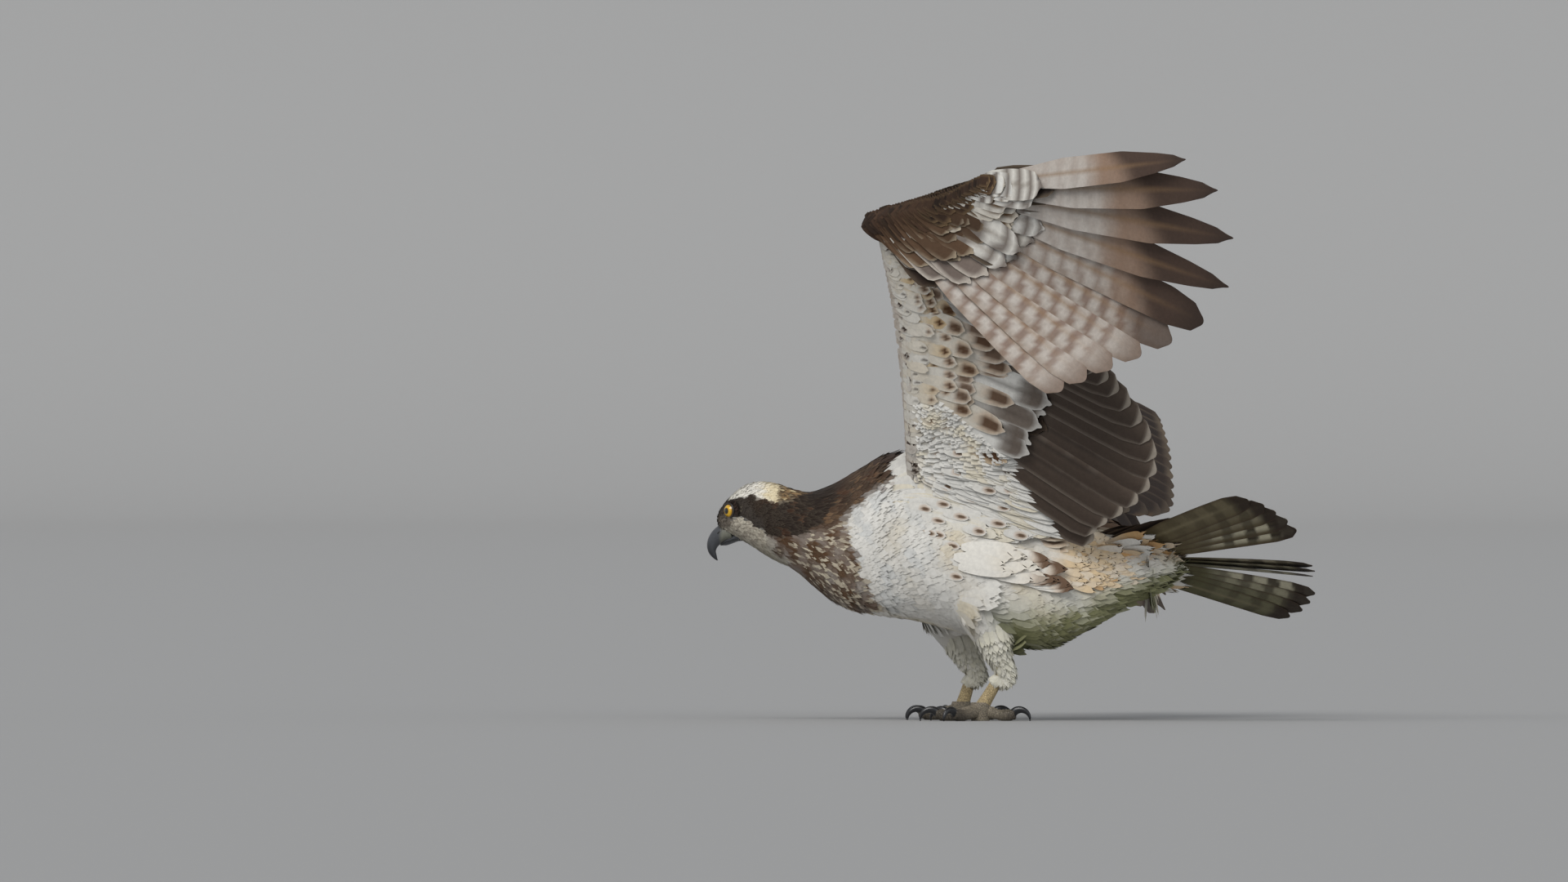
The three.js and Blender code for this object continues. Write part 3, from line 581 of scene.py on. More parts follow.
def feather_material(name, barb_mm, strength, roughness, sheen):
    made, tree, shader = new_material(name)
    paint = node(tree, "ShaderNodeAttribute", {"attribute_name": "plumage"})
    place = node(tree, "ShaderNodeTexCoord")
    barbs = node(tree, "ShaderNodeUVMap", {"uv_map": "Barbs"})
    parts = node(tree, "ShaderNodeSeparateXYZ", {}, {"0": barbs.outputs["UV"]})
    beside = node(tree, "ShaderNodeMath", {"operation": "ABSOLUTE"}, {"0": parts.outputs["X"]})
    slant = node(tree, "ShaderNodeMath", {"operation": "SUBTRACT"},
                 {"0": parts.outputs["Y"], "1": beside.outputs[0]})
    turn = node(tree, "ShaderNodeMath", {"operation": "MULTIPLY"}, {"0": slant.outputs[0]})
    turn.inputs[1].default_value = 2 * math.pi / (barb_mm * 0.001)
    ridge = node(tree, "ShaderNodeMath", {"operation": "SINE"}, {"0": turn.outputs[0]})
    cloud = node(tree, "ShaderNodeTexNoise", {"in:Scale": 260.0, "in:Detail": 4.0, "in:Roughness": 0.6},
                 {"Vector": place.outputs["Object"]})
    both = node(tree, "ShaderNodeMath", {"operation": "MULTIPLY_ADD"},
                {"0": ridge.outputs[0], "2": cloud.outputs["Fac"]})
    both.inputs[1].default_value = 0.22
    tone = node(tree, "ShaderNodeMapRange", {}, {"Value": both.outputs[0]})
    for key, value in (("From Min", 0.2), ("From Max", 0.8), ("To Min", 0.84), ("To Max", 1.1)):
        tone.inputs[key].default_value = value
    shade = node(tree, "ShaderNodeVectorMath", {"operation": "SCALE"},
                 {"0": paint.outputs["Color"], "Scale": tone.outputs[0]})
    bump = node(tree, "ShaderNodeBump", {"in:Strength": strength, "in:Distance": 0.0006},
                {"Height": both.outputs[0]})
    tree.links.new(shade.outputs[0], shader.inputs["Base Color"])
    tree.links.new(bump.outputs["Normal"], shader.inputs["Normal"])
    shader.inputs["Roughness"].default_value = roughness
    shader.inputs["Specular IOR Level"].default_value = 0.25
    shader.inputs["Sheen Weight"].default_value = sheen
    shader.inputs["Sheen Roughness"].default_value = 0.5
    return made


# Vaned feather is matt, with barbs that slant out from the shaft. They are drawn about 1 mm apart,
# coarser than life so that they show. The skin between the feathers carries a fine down in its bump,
# and is painted in the coat's own colours made darker, as painted shade in the gaps between feathers.
soft_feather = feather_material("soft_contour_feather", 1.1, 0.3, 0.85, 0.06)
stiff_feather = feather_material("stiff_vane_feather", 1.3, 0.3, 0.62, 0.04)
skin_down, tree, shader = new_material("downy_skin_in_painted_shade")
paint = node(tree, "ShaderNodeAttribute", {"attribute_name": "plumage"})
down = node(tree, "ShaderNodeTexNoise", {"in:Scale": 420.0, "in:Detail": 5.0},
            {"Vector": node(tree, "ShaderNodeTexCoord").outputs["Object"]})
bump = node(tree, "ShaderNodeBump", {"in:Strength": 0.5, "in:Distance": 0.001},
            {"Height": down.outputs["Fac"]})
tree.links.new(paint.outputs["Color"], shader.inputs["Base Color"])
tree.links.new(bump.outputs["Normal"], shader.inputs["Normal"])
shader.inputs["Roughness"].default_value = 0.95

skin_points = places(skin)
skin_normals = vertex_values(skin.data, "normal")
# The skin takes the coat's colours times 0.85: painted shade where it shows between the feathers.
painted(skin.data, body_colour(skin_points, np.full(len(skin_points), 0.4)) * 0.85)
skin.data.materials.clear()
skin.data.materials.append(skin_down)
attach(skin, "root")
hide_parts("head", "neck", "torso", "thigh_left", "thigh_right")

EYES = {}
for name, sign in (("left", 1), ("right", -1)):
    outward = unit(LEFTWARD * sign + FORWARD * 0.85)
    EYES[name] = (np.array([-240.5, 240.5 * math.tan(YAW), 205]) + LEFTWARD * sign * 12.6, outward)
tree_of_skin = BVHTree.FromObject(skin, bpy.context.evaluated_depsgraph_get())


def laid(ways, normals, share=1.0):
    """Directions turned to lie along the surface, wholly or by a share"""
    return unit(ways - normals * (ways * normals).sum(1, keepdims=True) * share)


# Feathers are thickest on the face and thin out on the trunk. None grow under the wings' own feathers,
# round the eyes, at the bill's root or on the parts of the legs that face down.
x, _, angle, side, ratio = body_place(skin_points)
on_arm = (ratio > 1.5) & (skin_points[:, 2] > 190)
on_leg = (ratio > 1.04) & (skin_points[:, 2] < 150) & ~on_arm
chance = np.interp(x, [-258, -225, -190, -150, -100], [3.2, 2.8, 1.5, 0.9, 0.6])
chance[on_leg] = 0.7
chance[on_arm] = 0
chance[on_leg & (skin_normals[:, 2] < -0.25)] = 0
for centre, outward in EYES.values():
    chance[np.linalg.norm(skin_points - centre - outward * 5, axis=1) < 9.5] = 0
bill_root = np.array([-250, 250 * math.tan(YAW), 181.0])
chance[np.linalg.norm(skin_points - bill_root, axis=1) < 11] = 0
chosen = np.repeat(np.arange(len(x)), np.floor(chance + RNG.random(len(x))).astype(int))
roots, normals = skin_points[chosen], skin_normals[chosen]
jitter = RNG.normal(0, 1.2, roots.shape)
jitter -= normals * (jitter * normals).sum(1, keepdims=True)
roots = roots + jitter
x, angle, side, leg = x[chosen], angle[chosen], side[chosen], on_leg[chosen]
lie = np.tile(-FORWARD, (len(roots), 1)) + RNG.normal(0, 0.06, roots.shape)
lie[:, 2] -= step(60, 150, angle) * step(-235, -190, x) * 0.22
rising = (ratio[chosen] > 1.1) & (roots[:, 2] > 185) & ~leg
lie[rising, 2] += 0.5
ankle_way = step(85, 55, roots[leg][:, 2])[:, None]
lie[leg] = np.array([0.25, 0, -0.95]) * (1 - ankle_way) + np.array([-0.45, 0, -0.85]) * ankle_way
lie[leg] += RNG.normal(0, 0.05, (leg.sum(), 3))
lie = laid(lie, normals)
length = np.interp(x, [-258, -235, -205, -165, -110, 40, 130], [4, 5.5, 10, 18, 23, 26, 28])
length = np.where(leg, np.interp(roots[:, 2], [40, 70, 130], [6, 11, 20]), length)
length = length * RNG.uniform(0.85, 1.2, len(x))
width = length * np.interp(x, [-258, -205, -165, -110], [0.4, 0.3, 0.24, 0.34])
width = width * RNG.uniform(0.85, 1.15, len(x))
vent = step(70, 120, x) * step(60, 120, angle) * ~leg
length = length * (1 + 0.5 * vent)
lift = length * (0.035 + 0.1 * vent) + np.interp(x, [-250, -150], [0.5, 0.45])
lift = np.where(leg, 0.3, lift)
spread = RNG.random(len(x))
tone = body_colour(roots + lie * length[:, None] * 0.6, spread) * RNG.uniform(0.96, 1.03, (len(x), 1))
for centre, outward in EYES.values():
    far = np.linalg.norm(roots - centre - outward * 4, axis=1)
    behind = ((roots - centre) @ -FORWARD) / np.maximum(far, 1)
    crescent_share = step(8.5, 9.5, far) * step(12.5, 11, far) * step(0.55, 0.8, behind)
    tone = tone + (CREAM - tone) * (crescent_share * 0.85)[:, None]
COAT_ROWS, COAT_COLUMNS, MOST_TRIANGLES = 5, 3, 180000
triangles = len(roots) * 2 * (COAT_ROWS - 1) * (COAT_COLUMNS - 1)
for number, part in enumerate(np.array_split(np.arange(len(x)), math.ceil(triangles / MOST_TRIANGLES)), 1):
    store = plumage_store()
    made = vanes(roots[part], lie[part], normals[part], length[part], width[part], COAT_ROWS,
                 COAT_COLUMNS, lift=lift[part], camber=0.13, ragged=0.03)
    t, s = made[1]
    shade = (1 - 0.2 * (1 - tone[part].mean(1)))[:, None, None]
    colour = tone[part][:, None, None, :] * (shade + (1 - shade) * step(0.1, 0.7, t))[..., None]
    dark = 1 - colour.mean(-1, keepdims=True)
    fringe = (step(0.75, 1, t) * 0.05 + step(0.55, 1, np.abs(s)) * 0.03)[..., None] * dark
    colour = colour + (CREAM - colour) * fringe
    unwrap = np.stack([np.interp(roots[part][:, 0], [-260, 170], [0.01, 0.99]),
                       0.5 + np.sign(side[part]) * angle[part] / 180 * 0.48], 1)
    keep(store, made, colour, unwrap)
    coat = feather_piece(store, f"body_coat_{number}", soft_feather, 0.86)


# The wings' feathers: ten stiff primaries on each hand, eighteen secondaries on each arm, and on both
# faces rows of soft coverts over their roots, growing longer from the leading edge back. A marking gives
# the colour at t and s on a feather of some length, place in its row (0 to 1) and luck (0 to 1).
PINK, ASH, UMBER, INK = linear("#BDB2A8"), linear("#83786E"), linear("#4B3A31"), linear("#2A221E")
RUST, MILK = linear("#B98A58"), linear("#F0EEE8")
PRIMARY_LENGTHS = [250, 254, 260, 270, 285, 305, 325, 332, 322, 285]
PRIMARY_WIDTHS = [37, 37, 38, 40, 42, 44, 45, 45, 42, 32]
SECONDARIES, SECONDARY_WIDTH, QUILL_SINK = 18, 38.0, 14
WING_TILT, COVERT_TILT = math.radians(6), math.radians(7)


def blend(colour, target, share):
    return colour + (target - colour) * np.clip(share, 0, 1)[..., None]


def plain(colour, t):
    return np.broadcast_to(colour, (*t.shape, 3)).copy()


def luck_of(t):
    return RNG.random(len(t))[:, None, None] + 0 * t


def quill(colour, t, s, shade_of_it):
    return blend(colour, shade_of_it, step(0.09, 0.03, np.abs(s)) * step(1.0, 0.6, t) * 0.55)


def oval_at(t, s, at, long, wide):
    return ((t - at) / long) ** 2 + (s / wide) ** 2


def primary_under(t, s, place, length, luck):
    rank = place * 9
    slant = t * length / 21 - np.abs(s) * 0.3 + place * 1.3
    bar = step(-0.1, 0.5, np.sin(2 * math.pi * slant)) * step(0.18, 0.3, t)
    colour = blend(plain(linear("#D3CCC4"), t), PINK, 0.4 + 0.3 * s + 0.3 * step(0.35, 0.8, t))
    lattice = bar * np.interp(rank, [4, 6.5], [0.8, 0.2]) * step(0.97, 0.8, t)
    colour = blend(colour, linear("#84695A"), lattice)
    colour = blend(colour, linear("#97826F"), step(0.5, 0.95, np.abs(s)) * step(6, 4, rank) * 0.55)
    tan = step(0.48, 0.6, t - np.interp(rank, [3, 6], [0.32, 0])) * step(3, 5.5, rank)
    colour = blend(colour, linear("#9B7E69"), tan * 0.9)
    dark = step(0.62, 0.74, t + 0.05 * s - np.interp(rank, [3.5, 6], [0.16, 0]))
    colour = blend(colour, UMBER, dark * step(3, 4.5, rank) * 0.95)
    colour = blend(colour, INK, step(0.86, 1, t) * step(3.5, 5, rank) * 0.55)
    colour = blend(colour, linear("#7E6A5C"), step(0.86, 0.99, t) * step(4.2, 3, rank) * 0.85)
    return quill(colour, t, s, TAN)


def secondary_under(t, s, place, length, luck):
    colour = blend(plain(linear("#66584D"), t), linear("#40342C"), step(-0.6, 0.6, -s) * 0.75)
    colour = blend(colour, linear("#9F968C"), step(0.5, 0.2, t) * 0.5)
    bar = step(0.3, 0.8, np.sin(2 * math.pi * t * length / 30)) * step(0.9, 0.75, t)
    colour = blend(colour, linear("#8F867C"), bar * step(-0.2, 0.7, s) * 0.4)
    colour = blend(colour, linear("#A3978A"), step(0.88, 0.98, np.abs(s)) * 0.35)
    colour = blend(colour, linear("#C6BBAC"), step(0.965, 0.985, t) * 0.7)
    return quill(colour, t, s, INK)


def dark_above(t, s, place, length, luck):
    colour = blend(plain(linear("#3F2E24"), t), INK, 0.4 + 0.4 * luck + 0.2 * s)
    # Long feathers are painted darker, to 0.6 from 150 mm up: partly the flight feathers' own darker brown,
    # partly painted shade on the far wing's upper side, which lies in shade behind the tail.
    colour = colour * np.interp(length, [100, 150], [1.0, 0.6])[..., None]
    bar = step(0.2, 0.8, np.sin(2 * math.pi * t * length / 30)) * step(0.1, 0.8, s)
    colour = blend(colour, TAN, bar * 0.22 * step(140, 180, length))
    edge = np.maximum(step(0.84, 0.98, np.abs(s)) * 0.45, step(0.93, 0.985, t) * 0.8)
    edge = edge * np.interp(length, [60, 150], [1.0, 0.3])
    return quill(blend(colour, linear("#B9A489"), edge * (0.3 + 0.6 * luck)), t, s, INK)


def spotted(size):
    def pattern(t, s, place, length, luck):
        colour = blend(plain(WHITE, t), CREAM, 0.25 + 0.35 * luck)
        colour = blend(colour, linear("#DDBC80"), step(0.6, 1, luck) * step(0.2, 0.6, t) * 0.6)
        halo = oval_at(t, s, 0.8, 0.17 * size, 0.85 * size)
        colour = blend(colour, RUST, step(1.7, 0.7, halo) * 0.45)
        spot = oval_at(t, s, 0.8, 0.12 * size, 0.6 * size)
        return blend(colour, linear("#523218"), step(1.2, 0.7, spot) * (0.8 + 0.2 * luck))
    return pattern


def dashed(t, s, place, length, luck):
    colour = blend(plain(WHITE, t), CREAM, 0.2 + 0.25 * step(0.5, 1, luck))
    colour = blend(colour, linear("#E0C48E"), step(0.35, 0.0, luck) * 0.25)
    dash = step(1.3, 0.7, oval_at(t, s, 0.82, 0.15, 0.3))
    return blend(colour, DARK, dash * step(0.35, 0.45, luck) * 0.8)


def edge_fleck(t, s, place, length, luck):
    colour = blend(plain(WHITE, t), TAN, 0.25 + 0.3 * luck)
    fleck = step(1.2, 0.6, oval_at(t, s, 0.75, 0.25, 0.6))
    return blend(colour, DARK, fleck * step(0.2, 0.4, luck))


def crescent(t, s, place, length, luck):
    colour = blend(plain(ASH, t), linear("#6B6058"), 0.3 + 0.5 * luck + 0.2 * s)
    colour = blend(colour, WHITE, step(0.6, 0.35, t) * 0.5)
    colour = blend(colour, MILK, step(0.72, 0.4, place) * step(0.45, 0.5, luck) * step(0.75, 0.6, t))
    ring = ((t - 0.1) / 0.86) ** 4 + s ** 4
    return quill(blend(colour, MILK, step(0.86, 1.0, ring) * 0.7), t, s, linear("#5A5048"))


def barred_covert(t, s, place, length, luck):
    colour = blend(plain(MILK, t), CREAM, 0.2 * luck)
    bar = step(-0.25, 0.35, np.sin(2 * math.pi * (t * length / 16 + 0.1 * s + 0.1 * luck)))
    colour = blend(colour, linear("#776B63"), bar * 0.9 * step(0.2, 0.35, t))
    return quill(rounded_grey(colour, t, s, step(0.46, 0.34, place), luck), t, s, GREY)


def rounded_grey(colour, t, s, share, luck):
    ring = ((t - 0.1) / 0.86) ** 4 + s ** 4
    colour = blend(colour, linear("#7B6E66") * (0.85 + 0.3 * luck[..., None]), share * step(0.2, 0.5, t))
    return blend(colour, linear("#D5CCC0"), share * step(0.84, 1.0, ring) * 0.75)


def carpal(t, s, place, length, luck):
    colour = blend(plain(linear("#4C382A"), t), linear("#2E2119"), step(0.2, 0.9, luck))
    edge = np.maximum(step(0.84, 0.97, t), step(0.8, 1, np.abs(s)) * 0.4)
    return blend(colour, linear("#A98C66"), edge * step(0.35, 0.9, place + 0.4 * luck) * 0.6)


def mottled(t, s, place, length, luck):
    brown = step(0.8, 0.62, place + 0.25 * luck)
    colour = blend(plain(MILK, t), CREAM, 0.4 * step(0.9, 0.7, place))
    blot = step(1.3, 0.6, oval_at(t, s - 0.1, 0.74, 0.2, 0.75))
    colour = blend(colour, linear("#6B543B"), blot * step(0.92, 0.78, place))
    bar = step(-0.2, 0.4, np.sin(2 * math.pi * (t * length / 16 + 0.1 * luck))) * step(0.74, 0.86, place)
    colour = blend(colour, linear("#6B5F57"), bar * 0.9)
    colour = blend(colour, linear("#5C4634") * (0.8 + 0.4 * luck[..., None]), brown)
    edge = np.maximum(step(0.9, 0.98, t), step(0.82, 0.98, np.abs(s)) * 0.5 * step(0.5, 0.8, t))
    return blend(colour, CREAM, edge * (0.3 + 0.35 * luck))


def wing_row(wing, part, spots, c, face, height):
    """Places along the wing at a share c of its depth, and how feathers from there follow its swell"""
    if part == "arm":
        lead, _, chord, under, along, half = (np.array(v) for v in zip(*(arm_frame(wing, u) for u in spots)))
    else:
        lead, chord, under, along, half = (np.array(v) for v in zip(*(hand_frame(wing, t) for t in spots)))
    outward = under * face
    profile = np.interp(c, [0, 0.06, 0.25, 0.6, 1], [0.12, 0.62, 1, 0.84, 0.36])
    point = lead + chord * c + outward * (half * profile + height)[:, None]
    span = unit(np.gradient(lead, axis=0))
    back = min(max(c, 0), 1)
    way = unit(unit(chord) * (1 - back) + along * (back + 0.05) + span * 0.4 * (1 - back))
    if part == "hand":
        way = unit(along * (0.55 + 0.45 * back) + unit(chord) * 0.5 * (1 - back))
    way = laid(way, outward)
    across = (way * unit(chord)).sum(1) / np.linalg.norm(chord, axis=1)

    def bulge(at):
        return np.interp(at, [-0.3, 0, 0.06, 0.25, 0.6, 1, 1.6, 3], [0, 0.12, 0.62, 1, 0.84, 0.36, 0.12, 0])

    return point, way, outward, lambda long: (
        lambda t: half[:, None] * (bulge(c + np.outer(across * long, t)) - bulge(c)))


def wing_coverts(store, wing, part, face, rows):
    """Rows of coverts: number, share of the wing's depth, first and last place along it, lengths from the
    body out, width, height over the wing, lift of the tips, marking"""
    for count, c, low, high, length, width, height, lift, pattern in rows:
        share = (np.arange(count) + 0.5) / count
        spots = low + (high - low) * share + RNG.normal(0, 0.004, count)
        roots, along, outward, drape = wing_row(wing, part, spots, c, face, height)
        along = unit(along + RNG.normal(0, 0.035, along.shape))
        long = np.interp(share, np.linspace(0, 1, len(length)), length) * RNG.uniform(0.92, 1.07, count)
        size = (11, 7) if long.mean() > 34 else (7, 5)
        made = vanes(roots, along, outward, long, width * RNG.uniform(0.93, 1.07, count), *size,
                     outline="covert", lift=lift, camber=0.12, tilt=COVERT_TILT * wing["ventral"],
                     ragged=0.006, bow=0.05, drape=drape(long))
        t, s = made[1]
        colour = pattern(t, s, share[:, None, None] + 0 * t, long[:, None, None], luck_of(t))
        # Each covert is painted darker towards its root, as painted shade where it lies under the row before
        # it.
        colour = colour * (0.86 + 0.14 * step(0.05, 0.5, t))[..., None]
        bake = np.stack([0.02 + 0.46 * spots, np.full(count, 0.25 + 0.2 * c + 0.25 * (face > 0))], 1)
        if part == "hand":
            bake[:, 0] += 0.5
        keep(store, made, colour, bake)


def flight_feathers(store, roots, along, under, length, width, tilt, outlines, below_it, above_it,
                    curl, atlas):
    """Stiff feathers of two vanes back to back, the lower one seen from below, the other from above"""
    for i in range(len(roots)):
        for side, pattern in ((1, below_it), (-1, above_it)):
            made = vanes(roots[i:i + 1], along[i:i + 1], under[i:i + 1], length[i], width[i], 56, 9,
                         outline=outlines[i], curl=curl, camber=0.05, tilt=tilt, thick=0.28 * side,
                         bow=0.012 if outlines[i] == "remex" else 0.03)
            t, s = made[1]
            place = np.full(t.shape, i / max(1, len(roots) - 1))
            colour = pattern(t, s, place, length[i] + 0 * t, np.full(t.shape, RNG.random()))
            keep(store, made, colour, np.zeros((1, 2)), inward=side < 0)
            cell = np.stack([0.02 * s[0].ravel(), 0.44 * t[0].ravel()], 1)
            column, row = atlas[0] + 0.022 + 0.045 * i, atlas[1] + (0.0 if side > 0 else 0.5) + 0.02
            store["bake"][-1] = cell + [column, row]


ARM_UPPER_ROWS = [
    (9, 0.9, -0.02, 0.2, [84, 100], 34, 2.2, 1.5),
    (9, 0.66, -0.02, 0.2, [84, 90], 30, 3.0, 1.5),
    (21, 0.74, 0.16, 0.95, [96, 104, 108, 100], 31, 1.6, 1.5),
    (23, 0.56, 0.10, 0.93, [76, 76, 72, 62], 26, 2.6, 1.5),
    (27, 0.42, 0.06, 0.95, [58, 56, 52, 44], 21, 3.2, 1.4),
    (32, 0.31, 0.03, 0.98, [44, 42, 36, 30], 17, 3.6, 1.4),
    (38, 0.22, 0.02, 0.99, [36, 32, 28, 24], 14, 3.8, 1.3),
    (46, 0.14, 0.01, 0.99, [28, 26, 22, 20], 12, 4.0, 1.2),
    (54, 0.07, 0.01, 1.0, [24, 20, 17, 15], 10, 4.0, 1.0),
    (62, 0.01, 0.0, 1.0, [20, 18, 15, 13], 9, 3.4, 1.0),
    (62, -0.03, 0.0, 1.0, [18, 16, 14, 12], 9, 2.2, 1.0),
]
HAND_UPPER_ROWS = [
    (15, 0.5, -0.04, 1.0, [84, 96, 108, 100], 31, 2.6, 1.2),
    (17, 0.4, -0.06, 1.0, [62, 68, 74, 64], 26, 3.2, 1.2),
    (20, 0.3, -0.08, 1.0, [46, 44, 38, 30], 19, 3.2, 1.2),
    (24, 0.2, -0.09, 1.0, [52, 48, 36, 24], 16, 3.8, 1.2),
    (30, 0.1, -0.10, 1.0, [44, 38, 26, 18], 13, 4.2, 1.2),
    (36, 0.0, -0.11, 1.0, [34, 28, 20, 15], 11, 4.4, 1.0),
    (42, -0.08, -0.11, 1.0, [22, 20, 16, 13], 9, 3.6, 1.0),
    (42, -0.16, -0.11, 1.0, [16, 15, 14, 12], 9, 2.4, 1.0),
]
for wing in (LEFT_WING, RIGHT_WING):
    side, handed = wing["side"], wing["ventral"]
    share = np.linspace(0, 1, SECONDARIES)
    frames = [arm_frame(wing, 0.2 + 0.78 * u) for u in share]
    roots = np.array([f[1] - f[4] * QUILL_SINK for f in frames])
    along, under = np.array([f[4] for f in frames]), np.array([f[3] for f in frames])
    lengths = np.array([keyed(wing["remex"], u) for u in share]) + 13
    store = plumage_store()
    flight_feathers(store, roots, along, under, lengths, [SECONDARY_WIDTH] * SECONDARIES, WING_TILT * handed,
                    ["remex"] * SECONDARIES, secondary_under, dark_above, 2.0, (0.0, 0.0))
    piece = feather_piece(store, f"{side}_secondaries", stiff_feather)
    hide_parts(f"wing_{side}_arm")
    store = plumage_store()
    wing_coverts(store, wing, "arm", 1, [
        (21, 0.74, 0.16, 0.95, [96, 104, 108, 100], 31, 1.6, 1.5, crescent),
        (25, 0.56, 0.10, 0.93, [86, 82, 74, 60], 24, 2.4, 1.3, spotted(1.1)),
        (34, 0.44, 0.06, 0.95, [58, 54, 48, 40], 19, 2.9, 1.1, spotted(1.0)),
        (42, 0.34, 0.03, 0.97, [44, 42, 36, 30], 15, 3.2, 1.0, spotted(0.8)),
        (50, 0.25, 0.02, 0.98, [36, 32, 28, 24], 13, 3.4, 0.8, spotted(0.6)),
        (58, 0.17, 0.01, 0.99, [30, 27, 23, 20], 11, 3.5, 0.6, dashed),
        (64, 0.1, 0.01, 1.0, [26, 22, 19, 17], 10, 3.5, 0.5, dashed),
        (70, 0.03, 0.0, 1.0, [22, 18, 16, 14], 9, 3.2, 0.6, edge_fleck),
        (62, -0.03, 0.0, 1.0, [18, 16, 14, 12], 9, 2.2, 1.0, edge_fleck),
    ])
    wing_coverts(store, wing, "arm", -1, [(*row, dark_above) for row in ARM_UPPER_ROWS])
    piece = feather_piece(store, f"{side}_arm_coverts", soft_feather, 0.72)
    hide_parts(f"wing_{side}_arm")

    frames = [hand_frame(wing, 0.08 + 0.9 * t) for t in np.linspace(0, 1, len(PRIMARY_LENGTHS))]
    roots = np.array([f[0] + f[1] * 0.45 for f in frames])
    along, under = np.array([f[3] for f in frames]), np.array([f[2] for f in frames])
    store = plumage_store()
    flight_feathers(store, roots, along, under, PRIMARY_LENGTHS, PRIMARY_WIDTHS, WING_TILT * handed,
                    ["remex"] * 6 + ["finger"] * 4, primary_under, dark_above, 0.0, (0.5, 0.0))
    piece = feather_piece(store, f"{side}_primaries", stiff_feather)
    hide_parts(f"wing_{side}_hand")
    store = plumage_store()
    wing_coverts(store, wing, "hand", 1, [
        (15, 0.5, -0.04, 1.0, [84, 96, 100, 82], 31, 1.4, 1.2, barred_covert),
        (18, 0.42, -0.05, 1.0, [60, 70, 74, 62], 26, 2.2, 1.1, mottled),
        (22, 0.34, -0.07, 1.0, [46, 54, 58, 50], 22, 2.9, 1.0, mottled),
        (26, 0.26, -0.09, 1.0, [38, 42, 44, 34], 19, 3.4, 1.0, mottled),
        (30, 0.18, -0.11, 1.0, [32, 34, 33, 25], 16, 3.8, 0.9, carpal),
        (36, 0.1, -0.12, 1.0, [27, 28, 25, 19], 14, 4.1, 0.9, carpal),
        (42, 0.02, -0.13, 1.0, [23, 22, 20, 15], 12, 4.2, 0.9, carpal),
        (44, -0.06, -0.12, 1.0, [20, 18, 16, 13], 10, 3.6, 0.9, carpal),
        (42, -0.16, -0.11, 1.0, [16, 15, 14, 12], 9, 2.4, 1.0, carpal),
    ])
    wing_coverts(store, wing, "hand", -1, [(*row, dark_above) for row in HAND_UPPER_ROWS])
    piece = feather_piece(store, f"{side}_hand_coverts", soft_feather, 0.35)
    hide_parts(f"wing_{side}_hand")


# The tail: twelve stiff barred feathers that grow from the rump in a fan, parted by the wind into three
# bunches, the middle one turned on edge. Soft coverts lie over their roots, pale below, brown above.
TAIL_ROOT = np.array([134.0, -24, 158])
TAIL_ANGLES = [32, 27.5, 23, 18, 13, -4, -6.5, -9, -17.5, -22, -26.5, -31]
TAIL_TWISTS = [8, 8, 8, 8, 8, -20, -24, -28, -4, -4, -4, -4]
TAIL_LENGTHS = [172, 180, 184, 188, 190, 192, 194, 192, 196, 194, 190, 182]
TAIL_WIDTH = 29
# Rows of its coverts on each face: number, length, how far ahead of the tail's root, height
TAIL_COVERT_ROWS = {
    1: ((40, 78, 10, 4), (44, 66, 2, 7), (44, 52, -8, 10), (40, 42, -20, 13)),
    -1: ((22, 84, 8, 4), (20, 70, 0, 7), (18, 52, -8, 9)),
}
pitch, roll = math.radians(2), math.radians(34)
tail_fore = np.array([math.cos(YAW) * math.cos(pitch), -math.sin(YAW) * math.cos(pitch), math.sin(pitch)])
tail_side = LEFTWARD * math.cos(roll) + UP * math.sin(roll)
tail_side = unit(tail_side - tail_fore * tail_side.dot(tail_fore))
tail_under = np.cross(tail_fore, tail_side)


def tail_pattern(rank):
    squares = [0.05, 0.12, 0.3, 0.9, 1, 0.35, 0.3, 0.3, 0.8, 0.45, 0.15, 0.1][rank]
    ground = linear("#6C6147") if rank < 6 else linear("#605D3E")

    def pattern(t, s, place, length, luck):
        slant = t * length / 25 + np.abs(s) * 0.1 + 0.13 * rank
        bar = step(-0.15, 0.35, np.sin(2 * math.pi * slant))
        colour = blend(plain(ground, t), linear("#8B7F5E"), step(0.5, 0.1, t) * 0.5)
        pale = step(0.42, 0.6, t) * step(-0.75, -0.3, s)
        colour = blend(colour, linear("#DAD3B8"), pale * squares)
        strength = 0.18 + 0.55 * pale * squares + 0.3 * step(0.4, 0.8, t)
        colour = blend(colour, linear("#3A3120"), bar * strength)
        colour = blend(colour, linear("#33261C"), step(0.86, 0.93, t) * 0.95)
        colour = blend(colour, linear("#4A3626"), step(0.86, 0.99, np.abs(s)) * 0.6)
        return quill(colour, t, s, linear("#94896A"))
    return pattern


def tail_above_pattern(t, s, place, length, luck):
    bar = step(-0.1, 0.4, np.sin(2 * math.pi * t * length / 27))
    colour = blend(plain(linear("#7A6650"), t), linear("#B7A689"), step(0.0, 0.8, s) * 0.5)
    colour = blend(colour, linear("#3C2E24"), np.maximum(bar * 0.85, step(0.85, 0.92, t)))
    return quill(blend(colour, CREAM, step(0.978, 0.99, t) * 0.8), t, s, INK)


def fringed(t, s, place, length, luck):
    colour = blend(plain(MILK, t), linear("#E3BE86"), step(0.3, 0.9, luck) * (0.3 + 0.6 * step(0.3, 0.8, t)))
    return blend(colour, linear("#C78F4E"), step(0.7, 1, luck) * step(0.6, 0.9, t) * 0.5)


